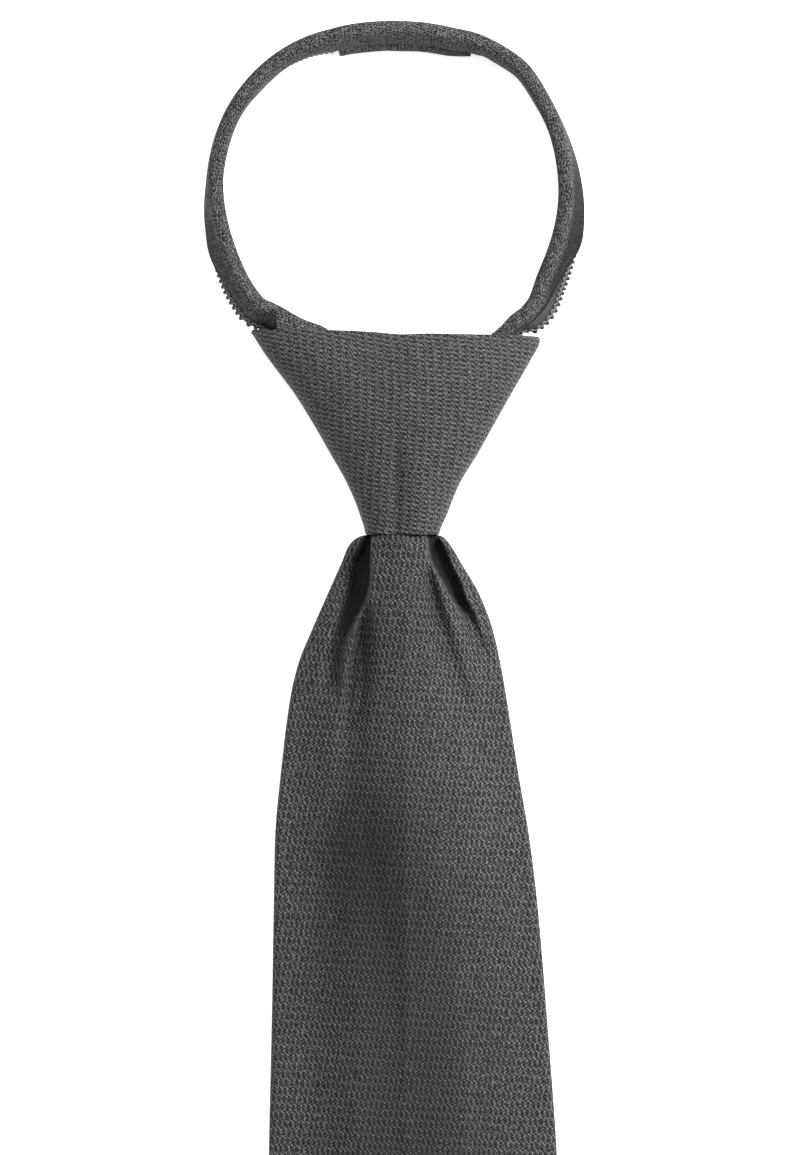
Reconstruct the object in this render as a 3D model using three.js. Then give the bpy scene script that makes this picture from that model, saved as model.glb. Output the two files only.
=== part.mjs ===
import * as THREE from "three";

// A pre-tied zipper necktie lying on its back on a flat surface, in millimetres.
// +Y runs from the knot towards the neck loop, +X to the right of the loop, +Z is the side that shows.
// The origin is the middle of the knot's flat back, on the surface at z = 0.

// Driving dimensions
const TIE_LENGTH = 500; // the knot's top edge to the blade's point
const KNOT_TOP = 22;
const KNOT_WALL = 1.4;
const BLADE_THICK = 3;
const POINT_LENGTH = 41;
const BAND_DEPTH = 9.7; // from the band's fold to the heads of the zipper coil
const BAND_THICK = 3.4;
const COVER_WALL = 1;
const TAPE_THICK = 0.8;
const TAPE_EDGE = 7.4; // where the zipper tape stops, from the band's fold
const COIL_THICK = 1.7;
const TAIL_END = -232;
const TAIL_THICK = 2.4;
const GAP = 0.3;
const SLOT_GAP = (BAND_THICK - 2 * COVER_WALL - TAPE_THICK) / 2;

const FABRIC = { color: 0x4a4b4d, roughness: 0.62, metalness: 0 };
const TAPE = { color: 0x2a2a2c, roughness: 0.85, metalness: 0 };
const COIL = { color: 0x3a3a3c, roughness: 0.35, metalness: 0 };
const METAL = { color: 0x2c2c2e, roughness: 0.45, metalness: 0.6 };

// The knot's sleeve across the tie: its sides, and the heights of its front, its widest line and its back
const KNOT_SECTIONS = [
  { y: 22, left: -34.2, right: 31.9, front: 17, side: 7, back: -0.5 },
  { y: 20.5, left: -33.2, right: 31.8, front: 18.2, side: 7.3, back: -0.7 },
  { y: 18.2, left: -31.5, right: 31, front: 19, side: 7.8, back: -0.8 },
  { y: 14.8, left: -29, right: 29.2, front: 19.8, side: 8.3, back: -0.9 },
  { y: 8, left: -23.9, right: 25.3, front: 20.2, side: 8.7, back: -0.9 },
  { y: 1.1, left: -19.6, right: 21.4, front: 19.8, side: 8.8, back: -0.9 },
  { y: -5.7, left: -15.7, right: 17.6, front: 18.8, side: 8.5, back: -0.8 },
  { y: -12.5, left: -11.9, right: 13.5, front: 17.6, side: 8.2, back: -0.7 },
  { y: -19.4, left: -9.1, right: 10.7, front: 16.4, side: 7.9, back: -0.6 },
  { y: -24, left: -7.9, right: 9, front: 15.6, side: 7.8, back: -0.5 },
];
const KNOT_FRONT_ROUND = 2.7; // exponents of the sleeve's section
const KNOT_BACK_ROUND = 4.5;
const KNOT_CREASE = { x: -1.2, half: 3, depth: 0.7, from: 8, length: 22 };
const KNOT_TOP_WAVE = { x: -16, half: 11, rise: 1.1, tilt: -0.016 };

// The neck band, round a centre: its fold is on top, and its coil edge hangs below it.
// A negative lean has the coil edge nearer the centre than the fold.
const LOOP_CENTRE = new THREE.Vector2(-1.6, 54.7);
const LOOP_SECTIONS = [
  { angle: -82, radius: 58.5, lift: 1.9, lean: 6, innerLip: 6.6, outerLip: 6.6 },
  { angle: -78, radius: 55.4, lift: 2, lean: 9, innerLip: 6.6, outerLip: 6.4 },
  { angle: -72, radius: 51.5, lift: 1.9, lean: 15, innerLip: 6.6, outerLip: 5.8 },
  { angle: -64, radius: 47, lift: 1.8, lean: 26, innerLip: 6.6, outerLip: 5 },
  { angle: -58, radius: 44.6, lift: 1.7, lean: 30, innerLip: 6.6, outerLip: 5 },
  { angle: -52, radius: 42.2, lift: 1.7, lean: 31, innerLip: 6.8, outerLip: 5.1 },
  { angle: -47, radius: 41.1, lift: 1.6, lean: 34, innerLip: 6.9, outerLip: 5.2 },
  { angle: -40, radius: 42.6, lift: 0.8, lean: 38, innerLip: 7, outerLip: 5.4 },
  { angle: -30, radius: 41.7, lift: 0, lean: 34, innerLip: 7.2, outerLip: 6.8 },
  { angle: -20, radius: 41, lift: 0, lean: 28, innerLip: 7.4, outerLip: 8.4 },
  { angle: -5, radius: 40.6, lift: 0, lean: 21, innerLip: 7.6, outerLip: 8.8 },
  { angle: 15, radius: 39.8, lift: 0, lean: 9, innerLip: 8.2, outerLip: 8.6 },
  { angle: 30, radius: 39.5, lift: 0, lean: 1, innerLip: 8.7, outerLip: 7.4 },
  { angle: 42, radius: 39.9, lift: 0, lean: -3, innerLip: 8.7, outerLip: 7 },
  { angle: 52, radius: 38.9, lift: 0, lean: -8, innerLip: 8.4, outerLip: 6.6 },
  { angle: 60, radius: 37.9, lift: 0, lean: -13, innerLip: 6.6, outerLip: 6.2 },
  { angle: 70, radius: 36.1, lift: 0, lean: -21, innerLip: 6.2, outerLip: 6.2 },
  { angle: 90, radius: 35.1, lift: 0, lean: -24, innerLip: 6.2, outerLip: 6.2 },
  { angle: 110, radius: 35.9, lift: 0, lean: -23, innerLip: 6.2, outerLip: 6.2 },
  { angle: 122, radius: 37.4, lift: 0, lean: -16, innerLip: 6.7, outerLip: 6.4 },
  { angle: 140, radius: 39.2, lift: 0, lean: -7, innerLip: 7.3, outerLip: 6.8 },
  { angle: 158, radius: 40.3, lift: 0, lean: 0, innerLip: 8, outerLip: 7.4 },
  { angle: 172, radius: 40.5, lift: 0, lean: 3, innerLip: 8.2, outerLip: 8.4 },
  { angle: 185, radius: 40.8, lift: 0, lean: 12, innerLip: 7.8, outerLip: 8.8 },
  { angle: 200, radius: 41.2, lift: 0, lean: 23, innerLip: 7.4, outerLip: 8.8 },
  { angle: 214, radius: 41.6, lift: 0.6, lean: 30, innerLip: 7.2, outerLip: 8 },
  { angle: 220.5, radius: 41.9, lift: 1.2, lean: 34, innerLip: 7, outerLip: 7.2 },
  { angle: 227, radius: 40.6, lift: 1.7, lean: 32, innerLip: 6.9, outerLip: 6.8 },
  { angle: 232, radius: 40.6, lift: 1.7, lean: 30, innerLip: 6.8, outerLip: 6.2 },
  { angle: 238, radius: 41.9, lift: 1.7, lean: 28, innerLip: 6.6, outerLip: 5.6 },
  { angle: 245, radius: 44.8, lift: 1.8, lean: 22, innerLip: 6.6, outerLip: 5.2 },
  { angle: 253, radius: 49.6, lift: 1.9, lean: 15, innerLip: 6.6, outerLip: 5.8 },
  { angle: 260, radius: 54.2, lift: 2, lean: 9, innerLip: 6.6, outerLip: 6.4 },
  { angle: 265.5, radius: 58.4, lift: 1.9, lean: 6, innerLip: 6.6, outerLip: 6.6 },
];
const LOOP_STEP = 4; // degrees between the band's sections
const BRIDGE = { from: 61, to: 111, depth: 9.9, thick: 3.4 };

// The folded ends of the band's cover, which lie on the band behind the knot's top edge: the heights are
// those of their upper side
const TUCKS = [
  {
    name: "band_tuck_left",
    rows: [
      { x: -28, rearY: 28.4, rearZ: 12.2, frontY: 20.6, frontZ: 12.8 },
      { x: -26, rearY: 27.6, rearZ: 12.2, frontY: 20.4, frontZ: 13 },
      { x: -23.9, rearY: 26.4, rearZ: 12, frontY: 20, frontZ: 13.2 },
      { x: -21.2, rearY: 25, rearZ: 11.6, frontY: 19.6, frontZ: 13.2 },
      { x: -18, rearY: 24, rearZ: 11.2, frontY: 19.2, frontZ: 13.2 },
      { x: -16.4, rearY: 22.9, rearZ: 11.4, frontY: 19, frontZ: 13 },
    ],
  },
  {
    name: "band_tuck_right",
    rows: [
      { x: 20.8, rearY: 21.4, rearZ: 12.4, frontY: 19, frontZ: 13 },
      { x: 22.8, rearY: 22.9, rearZ: 12.4, frontY: 19.4, frontZ: 13.1 },
      { x: 24.9, rearY: 24.2, rearZ: 12.4, frontY: 20, frontZ: 13 },
    ],
  },
];
const TUCK_THICK = 1;

// The blade before its folds: its sides, the heights of its upper surface and its thickness in the middle
const BLADE_SECTIONS = [
  { y: -9, left: -5.6, right: 6.7, rim: 8.5, flankL: 11.6, crest: 12.4, flankR: 11.6, thick: 5.6 },
  { y: -23.4, left: -6, right: 7, rim: 9, flankL: 12.2, crest: 12.9, flankR: 12.2, thick: 7 },
  { y: -24.5, left: -6.3, right: 7.3, rim: 9, flankL: 12.4, crest: 13.2, flankR: 12.4, thick: 7.2 },
  { y: -25.3, left: -9.2, right: 9.4, rim: 8.2, flankL: 12.9, crest: 13.7, flankR: 12.9, thick: 7.4 },
  { y: -26.8, left: -11.4, right: 11.3, rim: 7.6, flankL: 13.2, crest: 14, flankR: 13.2, thick: 7.5 },
  { y: -30, left: -13.2, right: 13.8, rim: 6.8, flankL: 12.8, crest: 13.9, flankR: 12.9, thick: 7.2 },
  { y: -37.6, left: -16.6, right: 18.2, rim: 5.6, flankL: 11.2, crest: 13, flankR: 11.4, thick: 6.2 },
  { y: -45.6, left: -20.1, right: 21.2, rim: 4.6, flankL: 9.9, crest: 11.8, flankR: 10.2, thick: 5 },
  { y: -53.6, left: -23.3, right: 23, rim: 4, flankL: 8.6, crest: 10.6, flankR: 9, thick: 4 },
  { y: -61.6, left: -25.1, right: 24.4, rim: 3.5, flankL: 7.6, crest: 9.6, flankR: 8, thick: 3.4 },
  { y: -77.5, left: -27.1, right: 26.9, rim: 3.1, flankL: 5.8, crest: 8.2, flankR: 6.4, thick: 3 },
  { y: -93.5, left: -28.5, right: 29.6, rim: 3, flankL: 4.6, crest: 7.2, flankR: 5.4, thick: 3 },
  { y: -109.4, left: -28.8, right: 31.5, rim: 3, flankL: 4, crest: 6.6, flankR: 4.6, thick: 3 },
  { y: -133.4, left: -29.2, right: 33.5, rim: 3, flankL: 3.5, crest: 6.1, flankR: 3.9, thick: 3 },
  { y: -165, left: -29.9, right: 35.8, rim: 3, flankL: 3.2, crest: 5.7, flankR: 3.4, thick: 3 },
  { y: -240, left: -31, right: 39.4, rim: 3, flankL: 3.1, crest: 5.7, flankR: 3.1, thick: 3 },
  { y: -262, left: -31.3, right: 40.4, rim: 3, flankL: 3, crest: 3.3, flankR: 3, thick: 3 },
  { y: -300, left: -31.9, right: 42.2, rim: 3, flankL: 3, crest: 3, flankR: 3, thick: 3 },
  { y: -437, left: -34, right: 48, rim: 3, flankL: 3, crest: 3, flankR: 3, thick: 3 },
];
const BLADE_ROWS = [
  -9, -16, -23.4, -24.5, -25.3, -26.8, -28.4, -30.4, -33, -36, -39.5, -43.2, -47, -51, -55.5, -61, -67, -74,
  -82, -92, -103, -118, -138, -165, -200, -243.5, -249, -255, -261, -267, -300, -345, -390, -420, -437,
];
const POINT_ROWS = 5;
const BLADE_COLUMNS = 26;

// Hollows pressed into the blade between its gathers: where each runs, how deep it is and half how wide
const HOLLOWS = {
  leftDeep: [
    { y: -22, x: -6.6, depth: 3.5, half: 1.6 },
    { y: -27, x: -7.6, depth: 6.2, half: 2 },
    { y: -36, x: -9.2, depth: 6, half: 3 },
    { y: -44, x: -11.6, depth: 3.6, half: 2.8 },
    { y: -52, x: -14.2, depth: 1.4, half: 3 },
    { y: -62, x: -16, depth: 0, half: 3.4 },
  ],
  leftSecond: [
    { y: -36, x: -6.4, depth: 0, half: 1.8 },
    { y: -46, x: -7.2, depth: 2.2, half: 2 },
    { y: -58, x: -9.2, depth: 2.6, half: 2.6 },
    { y: -72, x: -9.4, depth: 1.6, half: 3.6 },
    { y: -88, x: -9, depth: 0, half: 4.5 },
  ],
  rightDeep: [
    { y: -22, x: 7, depth: 3.5, half: 1.6 },
    { y: -27, x: 8, depth: 6.2, half: 1.8 },
    { y: -33, x: 11, depth: 5.6, half: 2 },
    { y: -40, x: 15, depth: 3.8, half: 2 },
    { y: -47, x: 17.4, depth: 1.4, half: 2.4 },
    { y: -56, x: 19, depth: 0, half: 3 },
  ],
  rightSecond: [
    { y: -27, x: 6.2, depth: 0, half: 1.4 },
    { y: -34, x: 6.9, depth: 2, half: 1.5 },
    { y: -41, x: 8.6, depth: 2, half: 1.9 },
    { y: -49, x: 11, depth: 1.2, half: 2.8 },
    { y: -64, x: 14, depth: 0, half: 4 },
  ],
};

// The closed zipper hidden behind the blade: its middle line, the height of its underside, half its width
const TAIL_SECTIONS = [
  { y: -8.9, x: 0.5, under: 2.3, half: 6 },
  { y: -25, x: 0.5, under: 2.2, half: 6 },
  { y: -31, x: 0.6, under: 0.9, half: 8 },
  { y: -37, x: 0.7, under: 0, half: 9.2 },
  { y: -130, x: 1.6, under: 0, half: 9.2 },
  { y: TAIL_END, x: 2.6, under: 0, half: 9.2 },
];
const CHAIN_HALF = 1.8;
const CHAIN_THICK = 2;
const TAIL_TAB = { length: 9, half: 9.8, thick: 2.6 };
const TAIL_REACH = TAIL_END - TAIL_TAB.length;

// The hidden slider, where the two sides of the zipper meet: a plain block that narrows towards the tail
const SLIDER = { x: 0.5, top: 0.4, length: 9, topHalf: 4.2, mouthHalf: 3.1, bottom: 1.9, thick: 4.3 };

// A smooth curve through one column of a table, read at any place along it
function column(table, along, name) {
  const rows = [...table].sort((a, b) => a[along] - b[along]);
  const at = rows.map((row) => row[along]);
  const value = rows.map((row) => row[name]);
  const last = rows.length - 1;
  const slope = value.map((_, i) => {
    if (i === 0 || i === last) return 0;
    const before = (value[i] - value[i - 1]) / (at[i] - at[i - 1]);
    const after = (value[i + 1] - value[i]) / (at[i + 1] - at[i]);
    return before * after <= 0 ? 0 : (2 * before * after) / (before + after);
  });
  return (place) => {
    const p = THREE.MathUtils.clamp(place, at[0], at[last]);
    const i = Math.min(last - 1, Math.max(0, at.findIndex((a) => a >= p) - 1));
    const span = at[i + 1] - at[i];
    const t = (p - at[i]) / span;
    const rise = value[i + 1] - value[i];
    const start = slope[i] * span;
    const end = slope[i + 1] * span;
    return value[i] + t * (start + t * (3 * rise - 2 * start - end + t * (start + end - 2 * rise)));
  };
}

const columns = (table, along, ...names) =>
  Object.fromEntries(names.map((name) => [name, column(table, along, name)]));

const bell = (distance, half) => Math.exp(-((distance / half) ** 2));

// Joins rings of equally many points into one closed body. Rings run so that their faces point out.
function loft(rings, closed = false) {
  const size = rings[0].length;
  const positions = rings.flat().flatMap((p) => [p.x, p.y, p.z]);
  const index = [];
  const spans = closed ? rings.length : rings.length - 1;
  for (let r = 0; r < spans; r += 1) {
    const here = r * size;
    const next = ((r + 1) % rings.length) * size;
    for (let i = 0; i < size; i += 1) {
      const j = (i + 1) % size;
      index.push(here + i, here + j, next + j, here + i, next + j, next + i);
    }
  }
  if (!closed) {
    index.push(...cap(rings[0], 0, true));
    index.push(...cap(rings[rings.length - 1], (rings.length - 1) * size, false));
  }
  const geometry = new THREE.BufferGeometry();
  geometry.setAttribute("position", new THREE.Float32BufferAttribute(positions, 3));
  geometry.setIndex(index);
  return geometry;
}

// Turns every face of a body over
function turned(geometry) {
  const index = Array.from(geometry.index.array);
  const corners = index.map((_, i) => index[i - (i % 3) + [0, 2, 1][i % 3]]);
  geometry.setIndex(corners);
  return geometry;
}

// Triangles that close a flat ring, in its own plane
function cap(ring, offset, reversed) {
  const normal = ringNormal(ring);
  const across = new THREE.Vector3().subVectors(ring[1], ring[0]).normalize();
  const up = new THREE.Vector3().crossVectors(normal, across);
  const flat = ring.map((p) => new THREE.Vector2(p.dot(across), p.dot(up)));
  return THREE.ShapeUtils.triangulateShape(flat, []).flatMap(([a, b, c]) =>
    reversed ? [offset + a, offset + c, offset + b] : [offset + a, offset + b, offset + c],
  );
}

function ringNormal(ring) {
  const sum = new THREE.Vector3();
  ring.forEach((p, i) => sum.add(new THREE.Vector3().crossVectors(p, ring[(i + 1) % ring.length])));
  return sum.normalize();
}

function piece(name, geometry, material) {
  const mesh = new THREE.Mesh(geometry, new THREE.MeshStandardMaterial(material));
  mesh.name = name;
  return mesh;
}

// Knot: a hollow sleeve, open at the top for the band and at its mouth for the blade
function knot() {
  const at = columns(KNOT_SECTIONS, "y", "left", "right", "front", "side", "back");
  const power = (value, exponent) => Math.sign(value) * Math.abs(value) ** (2 / exponent);
  const points = 44;

  const outline = (y) => {
    const middle = (at.left(y) + at.right(y)) / 2;
    const half = (at.right(y) - at.left(y)) / 2;
    const below = THREE.MathUtils.smoothstep(KNOT_CREASE.from - y, 0, KNOT_CREASE.length);
    const crease = KNOT_CREASE.depth * below;
    return Array.from({ length: points }, (_, i) => {
      const turn = (2 * Math.PI * i) / points;
      const onFront = Math.sin(turn) > 0;
      const round = onFront ? KNOT_FRONT_ROUND : KNOT_BACK_ROUND;
      const reach = onFront ? at.front(y) - at.side(y) : at.side(y) - at.back(y);
      const x = middle + half * power(Math.cos(turn), round);
      const dent = onFront ? crease * bell(x - KNOT_CREASE.x, KNOT_CREASE.half) : 0;
      return new THREE.Vector2(x, Math.max(0, at.side(y) + reach * power(Math.sin(turn), round) - dent));
    });
  };
  const inset = (ring) =>
    ring.map((p, i) => {
      const before = ring[(i + points - 1) % points];
      const along = ring[(i + 1) % points].clone().sub(before).normalize();
      return new THREE.Vector2(p.x - along.y * KNOT_WALL, p.y + along.x * KNOT_WALL);
    });
  const place = (ring, y) => {
    const raised = THREE.MathUtils.smoothstep(y, KNOT_TOP - 6, KNOT_TOP);
    return ring.map((p) => {
      const { x, half, rise, tilt } = KNOT_TOP_WAVE;
      const wave = rise * bell(p.x - x, half) + tilt * p.x;
      return new THREE.Vector3(p.x, y + raised * wave, p.y);
    });
  };
  const stations = KNOT_SECTIONS.map((section) => section.y);
  const outside = stations.map((y) => place(outline(y), y));
  const inside = [...stations].reverse().map((y) => place(inset(outline(y)), y));
  return piece("knot", loft([...outside, ...inside], true), FABRIC);
}

// Blade: a folded and lined strip, gathered under the knot and laid over the zipper's tail
function blade() {
  const at = columns(BLADE_SECTIONS, "y", "left", "right", "rim", "flankL", "crest", "flankR", "thick");
  const hollows = Object.values(HOLLOWS).map((rows) => ({
    high: rows[0].y,
    low: rows[rows.length - 1].y,
    ...columns(rows, "y", "x", "depth", "half"),
  }));
  const tail = columns(TAIL_SECTIONS, "y", "x", "under", "half");
  const shoulder = KNOT_TOP - TIE_LENGTH + POINT_LENGTH;
  const tipX = (at.left(shoulder) + at.right(shoulder)) / 2;

  const tailTop = (x, y) => {
    const off = Math.abs(x - tail.x(y)) - tail.half(y) - 1;
    const lowered = THREE.MathUtils.smoothstep(y, TAIL_REACH - 24, TAIL_REACH - 2);
    const cover = off < 0 ? 1 : bell(off, 8);
    return (tail.under(y) + TAIL_TAB.thick + GAP) * cover * lowered;
  };
  const surface = (x, y) => {
    const middle = (at.left(y) + at.right(y)) / 2;
    const half = (at.right(y) - at.left(y)) / 2;
    const across = [
      { s: -1, z: at.rim(y) },
      { s: -0.5, z: at.flankL(y) },
      { s: 0, z: at.crest(y) },
      { s: 0.5, z: at.flankR(y) },
      { s: 1, z: at.rim(y) },
    ];
    const drape = tailTop(x, y) + at.thick(y);
    const plain = Math.max(column(across, "s", "z")((x - middle) / half), y < -60 ? drape : 0);
    const pressed = hollows.reduce((sum, h) => {
      if (y > h.high || y < h.low) return sum;
      return sum + h.depth(y) * bell(x - h.x(y), h.half(y));
    }, 0);
    const under = Math.max(tailTop(x, y), plain - at.thick(y), 0);
    const top = Math.max(plain - pressed, under + 1.4);
    return { top, under: Math.max(Math.min(under, top - BLADE_THICK), tailTop(x, y), 0) };
  };

  // One section: the upper points from right to left, then the lower points back
  const section = (y, left, right) => {
    const roll = Math.min(BLADE_THICK / 2, (right - left) / 5);
    const inner = Array.from({ length: BLADE_COLUMNS - 3 }, (_, i) =>
      THREE.MathUtils.lerp(left + roll, right - roll, i / (BLADE_COLUMNS - 4)),
    );
    const xs = [left, left + roll * 0.3, ...inner, right - roll * 0.3, right];
    const ring = xs.map((x) => {
      const sample = surface(THREE.MathUtils.clamp(x, left + roll, right - roll), y);
      const out = Math.max(0, left + roll - x, x - right + roll) / roll;
      const middle = (sample.top + sample.under) / 2;
      const half = ((sample.top - sample.under) / 2) * Math.sqrt(Math.max(0, 1 - out * out));
      return { x, top: middle + half, under: middle - half, edge: out >= 1 };
    });
    const upper = ring.filter((p) => !p.edge).map((p) => new THREE.Vector3(p.x, y, p.top));
    const lower = ring.filter((p) => !p.edge).map((p) => new THREE.Vector3(p.x, y, p.under));
    const side = (p) => new THREE.Vector3(p.x, y, p.top);
    return [side(ring[ring.length - 1]), ...upper.reverse(), side(ring[0]), ...lower];
  };

  const body = BLADE_ROWS.map((y) => section(y, at.left(y), at.right(y)));
  const point = Array.from({ length: POINT_ROWS }, (_, i) => {
    const share = Math.min(0.985, (i + 1) / POINT_ROWS);
    return section(
      shoulder - share * POINT_LENGTH,
      THREE.MathUtils.lerp(at.left(shoulder), tipX, share),
      THREE.MathUtils.lerp(at.right(shoulder), tipX, share),
    );
  });
  return piece("front_blade", loft([...body, ...point]), FABRIC);
}

// The band's path, and the directions of its depth and thickness, at an angle round the loop
const LOOP = columns(LOOP_SECTIONS, "angle", "radius", "lift", "lean", "innerLip", "outerLip");
function bandFrame(angle) {
  const point = (a) => {
    const turn = THREE.MathUtils.degToRad(a);
    const spoke = new THREE.Vector2(Math.cos(turn), Math.sin(turn));
    return spoke.multiplyScalar(LOOP.radius(a)).add(LOOP_CENTRE);
  };
  const along = point(angle + 0.5).sub(point(angle - 0.5)).normalize();
  const out = new THREE.Vector3(along.y, -along.x, 0);
  const lean = THREE.MathUtils.degToRad(LOOP.lean(angle));
  const down = new THREE.Vector3(0, 0, -1);
  const depth = down.clone().multiplyScalar(Math.cos(lean)).addScaledVector(out, Math.sin(lean));
  const thick = out.clone().multiplyScalar(Math.cos(lean)).addScaledVector(down, -Math.sin(lean));
  const middle = point(angle);
  const foot = LOOP.lift(angle) + (BAND_THICK / 2) * Math.abs(Math.sin(lean));
  const base = new THREE.Vector3(middle.x, middle.y, foot + BAND_DEPTH * Math.cos(lean));
  base.addScaledVector(out, (-BAND_DEPTH / 2) * Math.sin(lean));
  return (d, t) => base.clone().addScaledVector(depth, d).addScaledVector(thick, t);
}

const FIRST = LOOP_SECTIONS[0].angle;
const LAST = LOOP_SECTIONS[LOOP_SECTIONS.length - 1].angle;

// Sweeps a section, given for an angle as [depth, thickness] pairs, round the loop.
// The band's pieces share their stations, so that the gaps between them stay even.
function band(name, from, to, sectionAt, material) {
  const angles = [from];
  for (let angle = FIRST; angle < to - 0.5; angle += LOOP_STEP) if (angle > from + 0.5) angles.push(angle);
  angles.push(to);
  const rings = angles.map((angle) => {
    const place = bandFrame(angle);
    return sectionAt(angle).map(([d, t]) => place(d, t));
  });
  return piece(name, turned(loft(rings)), material);
}

// Neck band: fabric folded round the zipper tape, open along the coil
function neckBand() {
  const half = BAND_THICK / 2;
  const slot = half - COVER_WALL;
  return band(
    "neck_band",
    FIRST,
    LAST,
    (angle) => [
      [LOOP.innerLip(angle), -half],
      [LOOP.innerLip(angle), -slot],
      [COVER_WALL + 0.2, -slot],
      [COVER_WALL + 0.2, slot],
      [LOOP.outerLip(angle), slot],
      [LOOP.outerLip(angle), half],
      [1.2, half],
      [0.35, half * 0.72],
      [0, 0],
      [0.35, -half * 0.72],
      [1.2, -half],
    ],
    FABRIC,
  );
}

function zipTape(name, from, to) {
  const half = TAPE_THICK / 2;
  const start = COVER_WALL + 0.2 + SLOT_GAP;
  return band(
    name,
    from,
    to,
    () => [
      [TAPE_EDGE, half],
      [start, half],
      [start, -half],
      [TAPE_EDGE, -half],
    ],
    TAPE,
  );
}

// The coil's outer shape: its teeth are too fine for a solid
function zipCoil(name, from, to) {
  const half = COIL_THICK / 2;
  const root = TAPE_THICK / 2;
  const low = TAPE_EDGE + GAP;
  return band(
    name,
    from,
    to,
    (angle) => {
      const lip = Math.max(LOOP.innerLip(angle), LOOP.outerLip(angle)) + GAP;
      const bare = THREE.MathUtils.clamp(lip, low + 0.15, BAND_DEPTH - 0.6);
      return [
        [BAND_DEPTH, 0],
        [BAND_DEPTH - 0.3, half],
        [bare, half],
        [bare - 0.1, root],
        [low, root],
        [low, -root],
        [bare - 0.1, -root],
        [bare, -half],
        [BAND_DEPTH - 0.3, -half],
      ];
    },
    COIL,
  );
}

// Binding folded over the joined zipper ends at the back of the neck
function backBridge() {
  const half = BRIDGE.thick / 2;
  const slot = TAPE_THICK / 2 + SLOT_GAP;
  return band(
    "back_bridge",
    BRIDGE.from,
    BRIDGE.to,
    (angle) => {
      const low = Math.max(LOOP.innerLip(angle), LOOP.outerLip(angle)) + GAP;
      return [
        [BRIDGE.depth, 0],
        [BRIDGE.depth - 0.7, half],
        [low, half],
        [low, slot],
        [TAPE_EDGE + GAP, slot],
        [TAPE_EDGE + GAP, -slot],
        [low, -slot],
        [low, -half],
        [BRIDGE.depth - 0.7, -half],
      ];
    },
    FABRIC,
  );
}

function tuck({ name, rows }) {
  const rings = rows.map(({ x, rearY, rearZ, frontY, frontZ }) => [
    new THREE.Vector3(x, rearY, rearZ),
    new THREE.Vector3(x, frontY, frontZ),
    new THREE.Vector3(x, frontY, frontZ - TUCK_THICK),
    new THREE.Vector3(x, rearY, rearZ - TUCK_THICK),
  ]);
  return piece(name, loft(rings), FABRIC);
}

// A strip of the hidden closed zipper, between two shares of its half width
function tailStrip(name, from, to, thick, material) {
  const at = columns(TAIL_SECTIONS, "y", "x", "under", "half");
  const rings = TAIL_SECTIONS.map(({ y }) => {
    const low = at.x(y) + from(at.half(y));
    const high = at.x(y) + to(at.half(y));
    const bottom = at.under(y) + (TAIL_THICK - thick) / 2;
    const soft = 0.5;
    return [
      [low + soft, bottom],
      [high - soft, bottom],
      [high, bottom + soft],
      [high, bottom + thick - soft],
      [high - soft, bottom + thick],
      [low + soft, bottom + thick],
      [low, bottom + thick - soft],
      [low, bottom + soft],
    ].map(([x, z]) => new THREE.Vector3(x, y, z));
  });
  return piece(name, loft(rings), material);
}

function tailTab() {
  const row = TAIL_SECTIONS[TAIL_SECTIONS.length - 1];
  const shape = new THREE.Shape();
  const { half, length } = TAIL_TAB;
  const corner = 2;
  shape.moveTo(-half, 0);
  shape.lineTo(-half, -length + corner);
  shape.absarc(-half + corner, -length + corner, corner, Math.PI, 1.5 * Math.PI, false);
  shape.absarc(half - corner, -length + corner, corner, 1.5 * Math.PI, 2 * Math.PI, false);
  shape.lineTo(half, 0);
  const settings = { depth: TAIL_TAB.thick, bevelEnabled: false, curveSegments: 4 };
  const geometry = new THREE.ExtrudeGeometry(shape, settings);
  const mesh = piece("tail_tab", geometry, FABRIC);
  mesh.position.set(row.x, row.y - GAP, 0);
  return mesh;
}

function zipSlider() {
  const { topHalf, mouthHalf, length } = SLIDER;
  const shape = new THREE.Shape();
  shape.moveTo(topHalf, 0);
  shape.lineTo(-topHalf, 0);
  shape.lineTo(-topHalf, -length / 3);
  shape.lineTo(-mouthHalf, -length);
  shape.lineTo(mouthHalf, -length);
  shape.lineTo(topHalf, -length / 3);
  const geometry = new THREE.ExtrudeGeometry(shape, { depth: SLIDER.thick, bevelEnabled: false });
  const mesh = piece("zip_slider", geometry, METAL);
  mesh.position.set(SLIDER.x, SLIDER.top, SLIDER.bottom);
  return mesh;
}

const tie = new THREE.Group();
const loop = new THREE.Group();
const coilGap = 0.6; // degrees, about a quarter of a millimetre round the loop
loop.add(
  neckBand(),
  zipTape("zip_tape_right", FIRST, 85.7),
  zipTape("zip_tape_left", 86.3, LAST),
  zipCoil("zip_coil_right", FIRST, BRIDGE.from - coilGap),
  zipCoil("zip_coil_left", BRIDGE.to + coilGap, LAST),
  backBridge(),
  ...TUCKS.map(tuck),
);
const tail = new THREE.Group();
tail.add(
  tailStrip("tail_band_left", (half) => -half, () => -CHAIN_HALF - GAP, TAIL_THICK, FABRIC),
  tailStrip("tail_chain", () => -CHAIN_HALF, () => CHAIN_HALF, CHAIN_THICK, COIL),
  tailStrip("tail_band_right", () => CHAIN_HALF + GAP, (half) => half, TAIL_THICK, FABRIC),
  tailTab(),
);
tie.add(knot(), zipSlider(), blade(), loop, tail);

export default tie;
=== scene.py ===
"""Dresses the zipper tie: its cloth, its zipper and the studio that it lies in.

Sizes are in millimetres, and meshes are made in metres. The tie lies on its back:
+X right, +Y from the knot to the neck loop, +Z the side that shows.
"""

from __future__ import annotations

import logging
import math
from collections.abc import Sequence
from dataclasses import dataclass
from enum import Enum

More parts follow.
